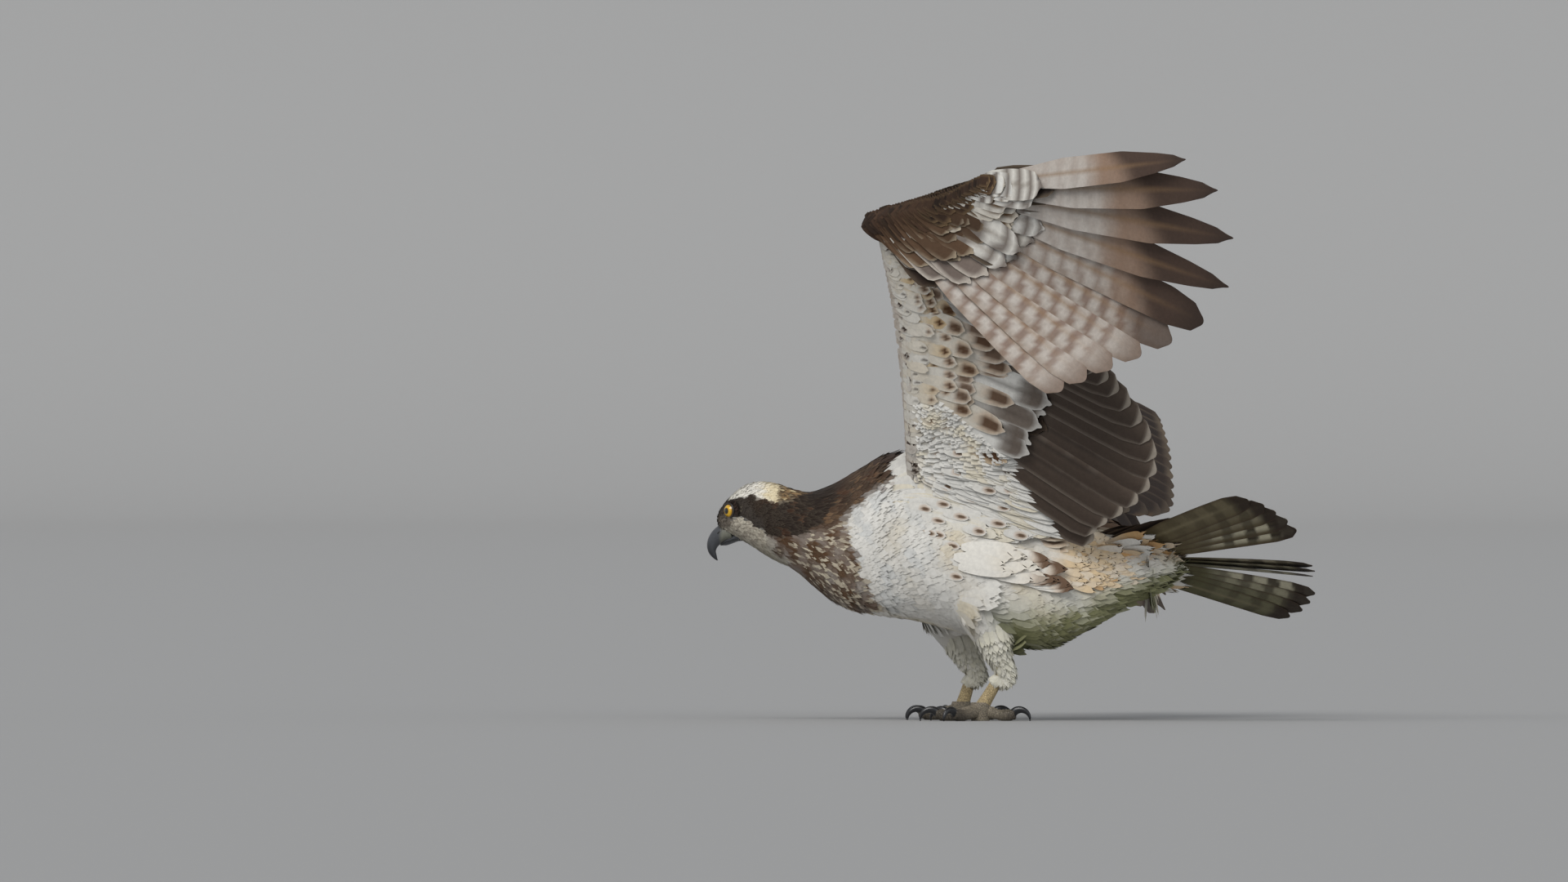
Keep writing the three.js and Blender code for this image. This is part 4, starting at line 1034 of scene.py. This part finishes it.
angles = np.radians(TAIL_ANGLES)
along = np.outer(np.cos(angles), tail_fore) + np.outer(np.sin(angles), tail_side)
roots = TAIL_ROOT + np.outer(np.array(TAIL_ANGLES) / 3, tail_side)
store = plumage_store()
for i, (length, twist) in enumerate(zip(TAIL_LENGTHS, np.radians(TAIL_TWISTS))):
    flight_feathers(store, roots[i:i + 1], along[i:i + 1], tail_under[None], [length], [TAIL_WIDTH], twist,
                    ["remex"], tail_pattern(i), tail_above_pattern, 5.0, (0.02 + 0.08 * i, 0.0))
piece = feather_piece(store, "tail_feathers", stiff_feather)
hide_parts("tail")
store = plumage_store()
for face, pattern in ((1, fringed), (-1, dark_above)):
    for count, long, ahead, height in TAIL_COVERT_ROWS[face]:
        angle = np.radians(RNG.uniform(-30, 30, count))
        way = np.outer(np.cos(angle), tail_fore) + np.outer(np.sin(angle), tail_side)
        way = unit(way + RNG.normal(0, 0.05, way.shape))
        start = TAIL_ROOT + tail_fore * (ahead - 26) + np.outer(np.degrees(angle) * 0.55, tail_side)
        start = start + tail_under * face * height
        lengths = long * RNG.uniform(0.8, 1.15, count)
        widths = 17 * RNG.uniform(0.8, 1.2, count)
        made = vanes(start, way, np.tile(tail_under * face, (count, 1)), lengths, widths, 13, 7, lift=2.0,
                     camber=0.2, tilt=RNG.normal(0, 0.08, count), ragged=0.03)
        t, s = made[1]
        luck = luck_of(t)
        bake = [[0.3 + 0.4 * (place + 30) / 60, 0.3 + 0.3 * (face > 0)] for place in np.degrees(angle)]
        keep(store, made, pattern(t, s, luck, lengths[:, None, None] + 0 * t, luck), bake)
piece = feather_piece(store, "tail_coverts", soft_feather, 0.6)
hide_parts("tail")


# The bill: a hooked upper half of grey-black horn, rooted in the skull under a paler soft cere with a
# nostril slit on each side, and a shorter lower half. The gape runs back between them under the eye.
# Lines are points (x, z) in the bird's middle plane, and radii are up and across.
BILL_LINE = [[-243, 184], [-250, 182.5], [-256.5, 178.5], [-261, 172.5], [-262, 166], [-259.5, 160],
             [-257.2, 156.5]]
BILL_RADII = [[10.5, 9.5], [10.2, 8.8], [8.8, 7.2], [6.8, 5.4], [4.6, 3.6], [2.4, 2], [0.5, 0.5]]
LOWER_BILL_LINE = [[-236, 180], [-243, 176.8], [-249, 173.8], [-253.5, 172]]
LOWER_BILL_RADII = [[5.6, 7.4], [5, 6.4], [3.8, 4.8], [1.4, 2]]
GAPE_LINE = ((-233, 176.5, 14.5), (-240, 176, 10.6), (-247, 174.6, 8.2), (-253, 171.6, 6.0))


def on_middle(x, z):
    return np.array([x, -x * math.tan(YAW), z])


def bill_rings(line, radii, count, sides):
    rings = []
    for t in np.linspace(0, 1, count):
        ahead = keyed(line, min(1, t + 0.02)) - keyed(line, max(0, t - 0.02))
        place = keyed(line, t)
        along = unit(on_middle(*place + ahead) - on_middle(*place))
        high, wide = np.maximum(keyed(radii, t), 0.25)
        up = np.cross(along, LEFTWARD)
        rings.append(oval(on_middle(*place), LEFTWARD, up, wide, high, high * 0.74, sides))
    return rings


def coloured(piece, material, colours):
    """Gives a piece its material and one colour all over, or a colour for each of its points"""
    painted(piece.data, np.broadcast_to(colours, (len(piece.data.vertices), 3)))
    piece.data.materials.clear()
    piece.data.materials.append(material)
    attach(piece, "root")


def hard_material(name, roughness, grain, depth, coat=0.0):
    made, tree, shader = new_material(name)
    paint = node(tree, "ShaderNodeAttribute", {"attribute_name": "plumage"})
    place = node(tree, "ShaderNodeTexCoord")
    cloud = node(tree, "ShaderNodeTexNoise", {"in:Scale": grain, "in:Detail": 5.0, "in:Roughness": 0.6},
                 {"Vector": place.outputs["Object"]})
    tone = node(tree, "ShaderNodeMapRange", {}, {"Value": cloud.outputs["Fac"]})
    for key, value in (("From Min", 0.25), ("From Max", 0.75), ("To Min", 0.82), ("To Max", 1.15)):
        tone.inputs[key].default_value = value
    shade = node(tree, "ShaderNodeVectorMath", {"operation": "SCALE"},
                 {"0": paint.outputs["Color"], "Scale": tone.outputs[0]})
    rough = node(tree, "ShaderNodeMapRange", {}, {"Value": cloud.outputs["Fac"]})
    for key, value in (("To Min", roughness * 0.8), ("To Max", roughness * 1.25)):
        rough.inputs[key].default_value = value
    bump = node(tree, "ShaderNodeBump", {"in:Strength": 0.35, "in:Distance": depth},
                {"Height": cloud.outputs["Fac"]})
    tree.links.new(shade.outputs[0], shader.inputs["Base Color"])
    tree.links.new(rough.outputs[0], shader.inputs["Roughness"])
    tree.links.new(bump.outputs["Normal"], shader.inputs["Normal"])
    shader.inputs["Coat Weight"].default_value = coat
    shader.inputs["Coat Roughness"].default_value = 0.2
    return made


# Horn is smooth and slightly polished, with a faint cloudiness.
horn = hard_material("grey_black_horn", 0.36, 700.0, 0.0002, 0.25)
CERE, HORN, HORN_TIP = linear("#77776B"), linear("#45474B"), linear("#232427")
upper = loft("upper_bill", bill_rings(BILL_LINE, BILL_RADII, 40, 36))
p = places(upper)
along_bill = np.linalg.norm(p - on_middle(-243, 184), axis=1)
colour = blend(np.tile(CERE, (len(p), 1)), HORN, step(11.5, 14, along_bill + 0.25 * (p[:, 2] - 184)))
coloured(upper, horn, blend(colour, HORN_TIP, step(22, 32, along_bill)))
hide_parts("bill_upper")
lower = loft("lower_bill", bill_rings(LOWER_BILL_LINE, LOWER_BILL_RADII, 20, 28))
coloured(lower, horn, HORN)
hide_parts("bill_lower")
gapes = []
for sign in (1, -1):
    line = [on_middle(x, z) + LEFTWARD * sign * out for x, z, out in GAPE_LINE]
    rings = tube_rings([keyed(line, t) for t in np.linspace(0, 1, 14)], [[0.9, 0.9]] * 14, UP, 8)
    gapes.append(loft("gape", rings))
    # Each nostril slit is a small near-black lens on the cere: painted shade that stands for the dark inside
    # of the opening.
    bpy.ops.mesh.primitive_uv_sphere_add(segments=20, ring_count=12, radius=0.001)
    slit = bpy.context.object
    bpy.ops.transform.resize(value=(2.9, 1.0, 0.95))
    bpy.ops.transform.rotate(value=0.7, orient_axis="Y", center_override=(0, 0, 0))
    bpy.ops.object.transform_apply(location=False, rotation=True, scale=True)
    spot = on_middle(-254, 184.5) + LEFTWARD * sign * 7.1
    slit.data.transform(Matrix.Translation(Vector(in_metres(spot))))
    gapes.append(slit)
gape = join(gapes, "gape_and_nostrils")
# Gape and nostrils are near black: a dark seam along the gape, and in each slit painted shade for the
# opening's dark inside.
coloured(gape, horn, linear("#191A1B"))


# The eyes: balls with a yellow iris round a black pupil, wet and shining, each set in its socket inside
# a ring of dark bare lid, with small dark feathers as a brow over it.
EYE_RADIUS, LID_RADIUS, LID_THICKNESS, BROW_FEATHERS = 0.0082, 0.0072, 0.0011, 90


def set_in_socket(piece, spot, outward):
    turn = Vector(outward).to_track_quat("Z", "Y").to_matrix().to_4x4()
    piece.data.transform(Matrix.Translation(Vector(in_metres(spot))) @ turn)
    smooth_shaded(piece.data)


wet_eye, tree, shader = new_material("wet_yellow_eye")
paint = node(tree, "ShaderNodeAttribute", {"attribute_name": "plumage"})
streaks = node(tree, "ShaderNodeTexNoise", {"in:Scale": 1100.0, "in:Detail": 3.0},
               {"Vector": node(tree, "ShaderNodeTexCoord").outputs["Object"]})
tone = node(tree, "ShaderNodeMapRange", {"in:To Min": 0.7, "in:To Max": 1.25},
            {"Value": streaks.outputs["Fac"]})
shade = node(tree, "ShaderNodeVectorMath", {"operation": "SCALE"},
             {"0": paint.outputs["Color"], "Scale": tone.outputs[0]})
tree.links.new(shade.outputs[0], shader.inputs["Base Color"])
shader.inputs["Roughness"].default_value = 0.25
shader.inputs["Coat Weight"].default_value = 1.0
shader.inputs["Coat Roughness"].default_value = 0.03
lid_skin = hard_material("dark_lid_skin", 0.5, 1500.0, 0.0002, 0.1)
brow_store = plumage_store()
for name, (centre, outward) in EYES.items():
    bpy.ops.mesh.primitive_uv_sphere_add(segments=72, ring_count=48, radius=EYE_RADIUS)
    eye = bpy.context.object
    eye.name = f"{name}_eye"
    set_in_socket(eye, centre, outward)
    p = places(eye)
    angle = np.degrees(np.arccos(np.clip(unit(p - centre) @ outward, -1, 1)))
    colour = blend(np.tile(linear("#E3B313"), (len(p), 1)), linear("#B07A10"), step(34, 46, angle) * 0.7)
    colour = blend(colour, linear("#8A5B0C"), step(27, 22, angle) * 0.6)
    colour = blend(colour, linear("#030303"), np.maximum(step(22.5, 20.5, angle), step(47, 50, angle)))
    coloured(eye, wet_eye, colour)
    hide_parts(f"eye_{name}")
    bpy.ops.mesh.primitive_torus_add(major_radius=LID_RADIUS, minor_radius=LID_THICKNESS,
                                     major_segments=48, minor_segments=10)
    lid = bpy.context.object
    lid.name = f"{name}_eyelid"
    set_in_socket(lid, centre + outward * 4.3, outward)
    coloured(lid, lid_skin, linear("#2B2724"))
    side_way = unit(np.cross(UP, outward)) * (1 if name == "left" else -1)
    back_way = -side_way if side_way.dot(FORWARD) > 0 else side_way
    count = BROW_FEATHERS
    around = RNG.uniform(-0.2, math.pi + 0.35, count)
    ring = np.outer(np.cos(around), -back_way) + np.outer(np.sin(around), UP)
    start = centre + outward * RNG.uniform(2.2, 4.4, (count, 1)) + ring * RNG.uniform(8.0, 9.6, (count, 1))
    way = unit(back_way + ring * 0.25 + RNG.normal(0, 0.08, (count, 3)))
    made = vanes(start, way, np.tile(outward, (count, 1)) * 0.7 + ring * 0.7, RNG.uniform(4.5, 7, count),
                 RNG.uniform(2, 3, count), 5, 3, lift=0.5, camber=0.3)
    colour = np.broadcast_to(DARK * 0.8, made[0].shape) * RNG.uniform(0.7, 1.4, (count, 1, 1, 1))
    keep(brow_store, made, colour, [0.03, 0.5])
brows = feather_piece(brow_store, "brow_feathers", soft_feather)


# Legs and feet: bare tarsi and toes of tough skin under rough round scales, set in the ball of the foot,
# and black horn claws, strongly curved, that grow from the toes' ends and rest on the floor with their tips.
# The scales are drawn about 2 mm wide.
scaled_skin, tree, shader = new_material("rough_scaled_skin")
paint = node(tree, "ShaderNodeAttribute", {"attribute_name": "plumage"})
place = node(tree, "ShaderNodeTexCoord")
scales = node(tree, "ShaderNodeTexVoronoi", {"feature": "DISTANCE_TO_EDGE", "in:Scale": 520.0},
              {"Vector": place.outputs["Object"]})
grime = node(tree, "ShaderNodeTexNoise", {"in:Scale": 160.0, "in:Detail": 4.0},
             {"Vector": place.outputs["Object"]})
seam = node(tree, "ShaderNodeMapRange", {"in:From Max": 0.12, "in:To Min": 0.45, "in:To Max": 1.05},
            {"Value": scales.outputs["Distance"]})
wear = node(tree, "ShaderNodeMapRange", {"in:To Min": 0.7, "in:To Max": 1.3},
            {"Value": grime.outputs["Fac"]})
both = node(tree, "ShaderNodeMath", {"operation": "MULTIPLY"}, {"0": seam.outputs[0], "1": wear.outputs[0]})
shade = node(tree, "ShaderNodeVectorMath", {"operation": "SCALE"},
             {"0": paint.outputs["Color"], "Scale": both.outputs[0]})
bump = node(tree, "ShaderNodeBump", {"in:Strength": 0.8, "in:Distance": 0.0007}, {"Height": seam.outputs[0]})
tree.links.new(shade.outputs[0], shader.inputs["Base Color"])
tree.links.new(bump.outputs["Normal"], shader.inputs["Normal"])
shader.inputs["Roughness"].default_value = 0.6
claw_horn = hard_material("black_claw_horn", 0.3, 500.0, 0.0002, 0.3)
TOE_LENGTHS = [30, 36, 33, 27]
TOE_HEIGHTS = (8, 8.6, 6.2, 5.4, 6.6)
TOE_RADII = [[6, 6], [6, 5.4], [5.1, 4.8], [6, 5.4], [4.8, 4.5]]
TARSUS_RADII = [[7.2, 7.2], [5.8, 5.8], [6.2, 6.2], [7.5, 7.5]]
ANKLE_RADII = [[9, 9], [10.5, 10.5], [9, 9]]
CLAW_RADII = [[4.2, 3.6], [3.9, 3.2], [3.2, 2.6], [2.4, 2], [1.5, 1.3], [0.4, 0.4]]
CLAW_LENGTH, CLAW_START, CLAW_TURN = 27, 0.95, 2.75


def tube(name, points, radii, hint, steps, sides, ripple=0.0):
    """A tube through a few points and radii, with its girth rippled between the toes' joints"""
    spots = np.linspace(0, 1, steps)
    girths = [np.maximum(keyed(radii, t), 0.2) for t in spots]
    rings = tube_rings([keyed(points, t) for t in spots], girths, hint, sides)
    for k, ring in enumerate(rings if ripple else []):
        middle = ring.mean(0)
        rings[k] = middle + (ring - middle) * (1 + ripple * math.sin(k * 1.57))
    return loft(name, rings)


def flat_on_floor(piece):
    for vertex in piece.data.vertices:
        vertex.co.z = max(vertex.co.z, 0.0)


for side, leg in LEGS.items():
    hock, centre = np.array(leg["hock"], float), np.array(leg["foot"], float)
    way = unit(centre - hock)
    line = [hock - way * 5 + (centre + way * 2 - hock + way * 5) * t for t in (0, 0.35, 0.7, 1)]
    shank = tube(f"{side}_tarsus", line, TARSUS_RADII, FORWARD, 40, 28)
    coloured(shank, scaled_skin, linear("#BFAA80"))
    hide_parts(f"tarsus_{side}")
    parts = [tube("ankle", [centre + UP * 7, centre, centre - UP * 11], ANKLE_RADII, FORWARD, 16, 28)]
    for i, degrees in enumerate(leg["toes"]):
        a = math.radians(degrees)
        heading = FORWARD * math.cos(a) + np.cross(UP, FORWARD) * math.sin(a)
        points = [centre * [1, 1, 0] + heading * (TOE_LENGTHS[i] + 8) * k / 4 + UP * z
                  for k, z in enumerate(TOE_HEIGHTS)]
        parts.append(tube("toe", points, TOE_RADII, UP, 40, 24, ripple=0.05))
        arc = [centre * [1, 1, 0] + UP * 6.8 + heading * (TOE_LENGTHS[i] + 5)]
        for k in range(5):
            b = CLAW_START - CLAW_TURN * (k + 0.5) / 5
            arc.append(arc[-1] + (heading * math.cos(b) + UP * math.sin(b)) * CLAW_LENGTH / 5)
        claw = tube(f"{side}_claw_{i + 1}", arc, CLAW_RADII, UP, 36, 20)
        flat_on_floor(claw)
        coloured(claw, claw_horn, linear("#17171A"))
        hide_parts(f"claw_{side}_{i + 1}")
    foot = join(parts, f"{side}_foot")
    flat_on_floor(foot)
    out = np.linalg.norm(places(foot) - centre, axis=1)
    tone = blend(np.tile(linear("#857B6A"), (len(out), 1)), linear("#4F473C"), step(10, 38, out))
    coloured(foot, scaled_skin, tone)
    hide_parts(f"foot_{side}")


# Longer feathers where wing, leg and tail meet the body, rooted in the skin and laid over the coat: white
# axillaries that fan out of the armpit, soft white feathers over the shoulder, teardrop spots on the side,
# a sleeve over the thigh, buff feathers under the tail, and dark scapulars on the back.
def on_skin(point):
    hit, normal, _, _ = tree_of_skin.find_nearest(Vector(in_metres(point)))
    return in_mm(hit), np.array(normal)


def seen_from_left(x, z, side):
    """The skin's point seen at (x, z) from the bird's left, or its mirror over the bird's middle plane"""
    ray = Vector(in_metres([x, -900, z]))
    hit, normal, _, _ = tree_of_skin.ray_cast(ray, Vector((0, 1, 0)))
    if hit is None:
        hit, normal, _, _ = tree_of_skin.find_nearest(ray + Vector((0, 0.85, 0)))
    point = in_mm(hit)
    if side > 0:
        return point, np.array(normal)
    across = body_section(min(point[0], 160))[1]
    middle = on_middle(point[0], body_section(point[0])[0][2])
    return on_skin(point - across * 2 * (point - middle).dot(across))


def outermost(x, z, side, trees):
    """The first surface met at (x, z) on the way in from the bird's left (side 1) or right (side -1)"""
    start = Vector(in_metres([x, -900 * side, z]))
    found = [tree.ray_cast(start, Vector((0, side, 0))) for tree in trees]
    found = [one for one in found if one[0] is not None]
    if not found:
        return None, None
    hit, normal, _, _ = min(found, key=lambda one: one[3])
    normal = np.array(normal)
    return in_mm(hit), normal * (1 if normal[1] * side < 0 else -1)


def smoothed(x, z, side, trees):
    """The same point evened out over its surroundings, or nothing where the surface ends"""
    ring = [(x + 8 * math.cos(a), z + 8 * math.sin(a)) for a in np.radians(range(0, 360, 60))]
    near = [outermost(*place, side, trees)[0] for place in ring]
    centre = outermost(x, z, side, trees)[0]
    if centre is None or any(p is None for p in near):
        return None
    depths = np.array([p[1] for p in near])
    if np.ptp(depths) > 30:
        return None
    return np.array([x, np.append(depths, centre[1]).mean() - side * 2.5, z])


def raised(found):
    """Roots lifted off the surface, from lists of point, surface direction and height"""
    normals = np.array([normal for _, normal, _ in found])
    return np.array([point + normal * height for point, normal, height in found]), normals


def tree_of(piece):
    return BVHTree.FromObject(piece, bpy.context.evaluated_depsgraph_get())


def teardrop(t, s, place, length, luck):
    colour = blend(plain(WHITE, t), SMOKE, 0.2 + 0 * t)
    colour = blend(colour, RUST, step(1.6, 0.6, oval_at(t, s, 0.66, 0.24, 0.8)) * 0.4)
    return blend(colour, linear("#553A22"), step(1.3, 0.6, oval_at(t, s, 0.68, 0.17, 0.45)) * 0.9)


def axillary(t, s, place, length, luck):
    colour = blend(plain(MILK, t), CREAM, 0.15 + 0.45 * step(0.7, 1, t) + 0.3 * luck)
    colour = blend(colour, RUST, step(1.5, 0.6, oval_at(t, s, 0.86, 0.13, 0.95)) * 0.4)
    spot = step(1.25, 0.75, oval_at(t, s, 0.86, 0.085, 0.62))
    return blend(colour, linear("#4A3423"), spot * 0.92 * (length <= 1))


def sleeve(t, s, place, length, luck):
    colour = blend(plain(MILK, t), CREAM, 0.15 + 0.25 * step(0.5, 1, t))
    tip = step(0.7, 0.84, t + 0.05 * s) * step(0.5, 0.6, place)
    colour = blend(colour, RUST, step(0.6, 0.76, t) * 0.35 * step(0.45, 0.6, place))
    return blend(colour, linear("#5F4027"), tip * 0.9)


def vent_feather(t, s, place, length, luck):
    colour = blend(plain(MILK, t), linear("#E0BC80"), (0.3 + 0.3 * luck) * (0.5 + 0.8 * step(0.2, 0.8, t)))
    return blend(colour, linear("#B87C3C"), step(0.93, 0.97, luck) * step(0.5, 0.85, t) * 0.4)


def mantle_feather(t, s, place, length, luck):
    colour = blend(plain(linear("#46342A"), t), INK, 0.3 + 0.5 * luck)
    return blend(colour, TAN, (step(0.9, 0.98, t) * 0.4 + step(0.85, 1, np.abs(s)) * 0.12) * luck)


# Rows of axillaries: number, how far ahead of the wing's feather roots, lengths, width, height
AXILLARY_ROWS = ((19, 14, (118, 140), 25, 3.5), (18, 26, (88, 104), 22, 5.0),
                 (17, 36, (56, 70), 18, 6.0), (16, 44, (30, 40), 15, 7.0))
# The shoulder's patch reaches from LOW to HIGH along the body at each height Z
SHOULDER_TRIES = 820
SHOULDER_Z = [190, 214, 258, 282, 308]
SHOULDER_LOW = [-30, -100, -98, -84, -74]
SHOULDER_HIGH = [50, 42, 22, -6, -36]
SPOTS = [(-35.6, 264.6), (-38, 246.2), (-46, 231.8), (-52.4, 215), (-36.4, 203), (-69.2, 210.2),
         (-57.2, 199), (-56.4, 184.6), (-43.6, 174.2), (-68.4, 187), (-1.2, 175), (-23.6, 220.6),
         (-17.2, 188.6), (-7.6, 228.6), (8.4, 211), (22.8, 184.6), (-78, 236.6), (-30, 156.6),
         (-1.2, 196.6), (-39.6, 144.6), (-54, 236.6), (14.8, 228.6)]
SLEEVE_FEATHERS, VENT_FEATHERS = 26, 190
# Rows of scapulars: number, first and last place along the body, length, width, height
SCAPULAR_ROWS = ((30, 4, 70, 70, 22, 3.0), (40, -30, 34, 50, 17, 4.0),
                 (54, -64, 0, 36, 13, 4.5), (80, -104, -40, 26, 10, 3.5))
for side in (1, -1):
    name = "left" if side > 0 else "right"
    wing = LEFT_WING if side > 0 else RIGHT_WING
    store = plumage_store()
    body_out = unit(LEFTWARD * side + UP * (0.35 if side > 0 else 0.1))
    for count, ahead, long, width, height in AXILLARY_ROWS:
        share = (np.arange(count) + 0.5) / count
        frames = [arm_frame(wing, 0.02 + 0.3 * u) for u in share]
        start = np.array([f[1] - unit(f[2]) * ahead for f in frames])
        out = np.array([f[3] for f in frames])
        out = unit(out * share[:, None] + body_out * (1.15 - share[:, None]))
        start = start + out * height + np.outer((1 - share), LEFTWARD * side * 22 + UP * -14)
        down = np.interp(share, [0, 1], [-0.5, 0.1])
        way = laid(unit(-FORWARD + np.outer(down, UP) + LEFTWARD * side * 0.1), out)
        lengths = np.interp(share, [0, 0.6, 1], [long[0], long[1], long[1] * 0.85])
        made = vanes(start, way, out, lengths, width, 26, 9, outline="covert", lift=1.2, curl=-3.0,
                     camber=0.1, tilt=math.radians(1.2) * wing["ventral"], ragged=0.006)
        t, s = made[1]
        colour = axillary(t, s, t, t + (long[0] < 40), luck_of(t))
        keep(store, made, colour, np.stack([0.3 + 0.2 * share, np.full(count, 0.9)], 1))
    axillaries = feather_piece(store, f"{name}_axillaries", soft_feather, 0.8)

    # The shoulder's feathers lie on whatever is outermost there: skin, axillaries or wing coverts.
    store = plumage_store()
    trees = [tree_of_skin, tree_of(axillaries), tree_of(bpy.data.objects[f"{name}_arm_coverts"])]
    points, ways = [], []
    for _ in range(SHOULDER_TRIES):
        z = RNG.uniform(SHOULDER_Z[0], SHOULDER_Z[-1])
        x = RNG.uniform(np.interp(z, SHOULDER_Z, SHOULDER_LOW), np.interp(z, SHOULDER_Z, SHOULDER_HIGH))
        point = smoothed(x, z, side, trees)
        if point is None:
            continue
        rise = math.radians(np.interp(z, [190, 225, 255, 308], [-16, -10, 12, 56]))
        rise = rise + math.radians(26) * step(-40, -90, x) * step(200, 240, z)
        points.append(point)
        ways.append(-FORWARD * math.cos(rise) + UP * math.sin(rise))
    points, count = np.array(points), len(points)
    normals = np.tile(unit(LEFTWARD * side + UP * 0.12), (count, 1))
    ways = laid(unit(np.array(ways) + RNG.normal(0, 0.05, points.shape)), normals)
    lengths = np.interp(points[:, 2], [190, 300], [40, 27]) * RNG.uniform(0.85, 1.15, count)
    made = vanes(points, ways, normals, lengths, lengths * 0.26, 9, 5, lift=0.3, camber=0.06, ragged=0.015)
    luck = wave_noise(points, 30, 7) * 0.5 + 0.5 + RNG.normal(0, 0.06, count)
    tone = blend(np.tile(WHITE, (count, 1)), linear("#E3D3AA"), 0.45 * step(0.5, 0.95, luck))
    tone = blend(tone, linear("#BDBCB8"), 0.3 * step(0.4, 0.05, luck))
    keep(store, made, np.broadcast_to(tone[:, None, None, :], made[0].shape), [0.25, 0.6])
    shoulder = feather_piece(store, f"{name}_shoulder_feathers", soft_feather, 0.9)
    trees.append(tree_of(shoulder))

    # Single spotted feathers on the side, then the sleeve, then the feathers under the tail
    store = plumage_store()
    found = [outermost(x, z, side, trees) for x, z in SPOTS]
    points, normals = raised([(point, unit(normal + LEFTWARD * side), 1.6) for point, normal in found])
    ways = -FORWARD + [0, 0, -0.2]
    ways = ways - normals * (ways * normals).sum(1, keepdims=True)
    made = vanes(points, ways, normals, RNG.uniform(22, 30, len(SPOTS)), RNG.uniform(7, 10, len(SPOTS)),
                 15, 9, lift=1.2, camber=0.2)
    t, s = made[1]
    keep(store, made, teardrop(t, s, t, t, t), [0.5, 0.5 + side * 0.3])

    share = (np.arange(SLEEVE_FEATHERS) + RNG.random(SLEEVE_FEATHERS)) / SLEEVE_FEATHERS
    points, normals = raised([
        (*seen_from_left(-26 + 64 * v, RNG.uniform(148, 172) - 10 * v, side), 2.6 + RNG.uniform(0, 1))
        for v in share])
    ways = laid(unit(-FORWARD + [0, 0, -0.12] + RNG.normal(0, 0.04, points.shape)), normals, 0.9)
    made = vanes(points, ways, normals, RNG.uniform(44, 60, len(share)), RNG.uniform(12, 16, len(share)),
                 19, 7, lift=3.0, camber=0.2, ragged=0.015)
    t, s = made[1]
    keep(store, made, sleeve(t, s, share[:, None, None] + 0 * t, t, t), [0.6, 0.3])

    points, normals = raised([
        (*seen_from_left(RNG.uniform(62, 128), RNG.uniform(136, 182), side), 2.2)
        for _ in range(VENT_FEATHERS)])
    ways = laid(unit(-FORWARD + [0, 0, -0.12] + RNG.normal(0, 0.09, points.shape)), normals, 0.9)
    made = vanes(points, ways, normals, RNG.uniform(24, 40, VENT_FEATHERS), RNG.uniform(6, 9, VENT_FEATHERS),
                 13, 5, lift=2.0, camber=0.2, ragged=0.03)
    t, s = made[1]
    keep(store, made, vent_feather(t, s, t, t, luck_of(t)), [0.7, 0.3])
    piece = feather_piece(store, f"{name}_flank_feathers", soft_feather, 0.7)

    store = plumage_store()
    for count, low, high, long, width, height in SCAPULAR_ROWS:
        x = RNG.uniform(low, high, count)
        found = []
        for value in x:
            centre, across, up, wide, radius_up, _ = body_section(value)
            a = math.radians(RNG.uniform(8, np.interp(value, [-100, -10, 30], [40, 42, 62])))
            place = centre + across * side * math.sin(a) * wide + up * math.cos(a) * radius_up
            found.append((*on_skin(place), height))
        points, normals = raised(found)
        ways = laid(unit(-FORWARD + RNG.normal(0, 0.07, points.shape)), normals)
        made = vanes(points, ways, normals, long * RNG.uniform(0.85, 1.15, count), width, 13, 7,
                     outline="covert", lift=2.0, camber=0.15, ragged=0.02)
        t, s = made[1]
        bake = np.stack([0.4 + x * 0.002, np.full(count, 0.5 + side * 0.1)], 1)
        keep(store, made, mantle_feather(t, s, t, 60 + 0 * t, luck_of(t)), bake)
    piece = feather_piece(store, f"{name}_scapulars", soft_feather, 0.45)


# Feathering of the lower legs: soft white feathers that hang from the thigh over the hock and end a
# little above the foot, longest at the back.
LEG_FEATHERS = 1500
store = plumage_store()
for side, leg in LEGS.items():
    hock, centre = np.array(leg["hock"], float), np.array(leg["foot"], float)
    line = [np.array(p) for p in thigh_line(leg)][3:] + [hock + (centre - hock) * 0.2]
    count = LEG_FEATHERS
    along_leg = RNG.random(count) ** 0.8
    spine = np.array([keyed(line, v) for v in along_leg])
    ahead = np.array([keyed(line, min(1, v + 0.05)) - keyed(line, max(0, v - 0.05)) for v in along_leg])
    down_way = unit(ahead)
    first = unit(np.cross(down_way, FORWARD))
    second = np.cross(down_way, first)
    a = RNG.uniform(0, 2 * math.pi, count)
    out = first * np.cos(a)[:, None] + second * np.sin(a)[:, None]
    radius = np.interp(along_leg, [0, 0.3, 0.6, 1], [19, 12, 7.5, 5])
    start = spine + out * radius[:, None]
    behind = np.clip(-(out @ FORWARD), 0, 1)
    way = unit(down_way + out * (0.01 + 0.06 * behind)[:, None] + RNG.normal(0, 0.03, (count, 3)))
    lengths = (np.interp(along_leg, [0, 0.6, 1], [18, 15, 9]) + 3 * behind) * RNG.uniform(0.8, 1.15, count)
    made = vanes(start, way, out, lengths, lengths * 0.3, 6, 3, lift=0.3, camber=0.2, ragged=0.03)
    tone = blend(np.tile(WHITE * 0.93, (count, 1)), linear("#D8D2B4"), 0.3 + 0.25 * RNG.random(count))
    # Each feather is painted darker towards its root, as painted shade under the feathers above it.
    colour = tone[:, None, None, :] * (0.9 + 0.1 * made[1][0])[..., None]
    keep(store, made, colour, np.stack([0.5 + 0.1 * along_leg, a / 6.4], 1))
piece = feather_piece(store, "leg_feathers", soft_feather, 0.75)
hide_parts("thigh_left", "thigh_right")
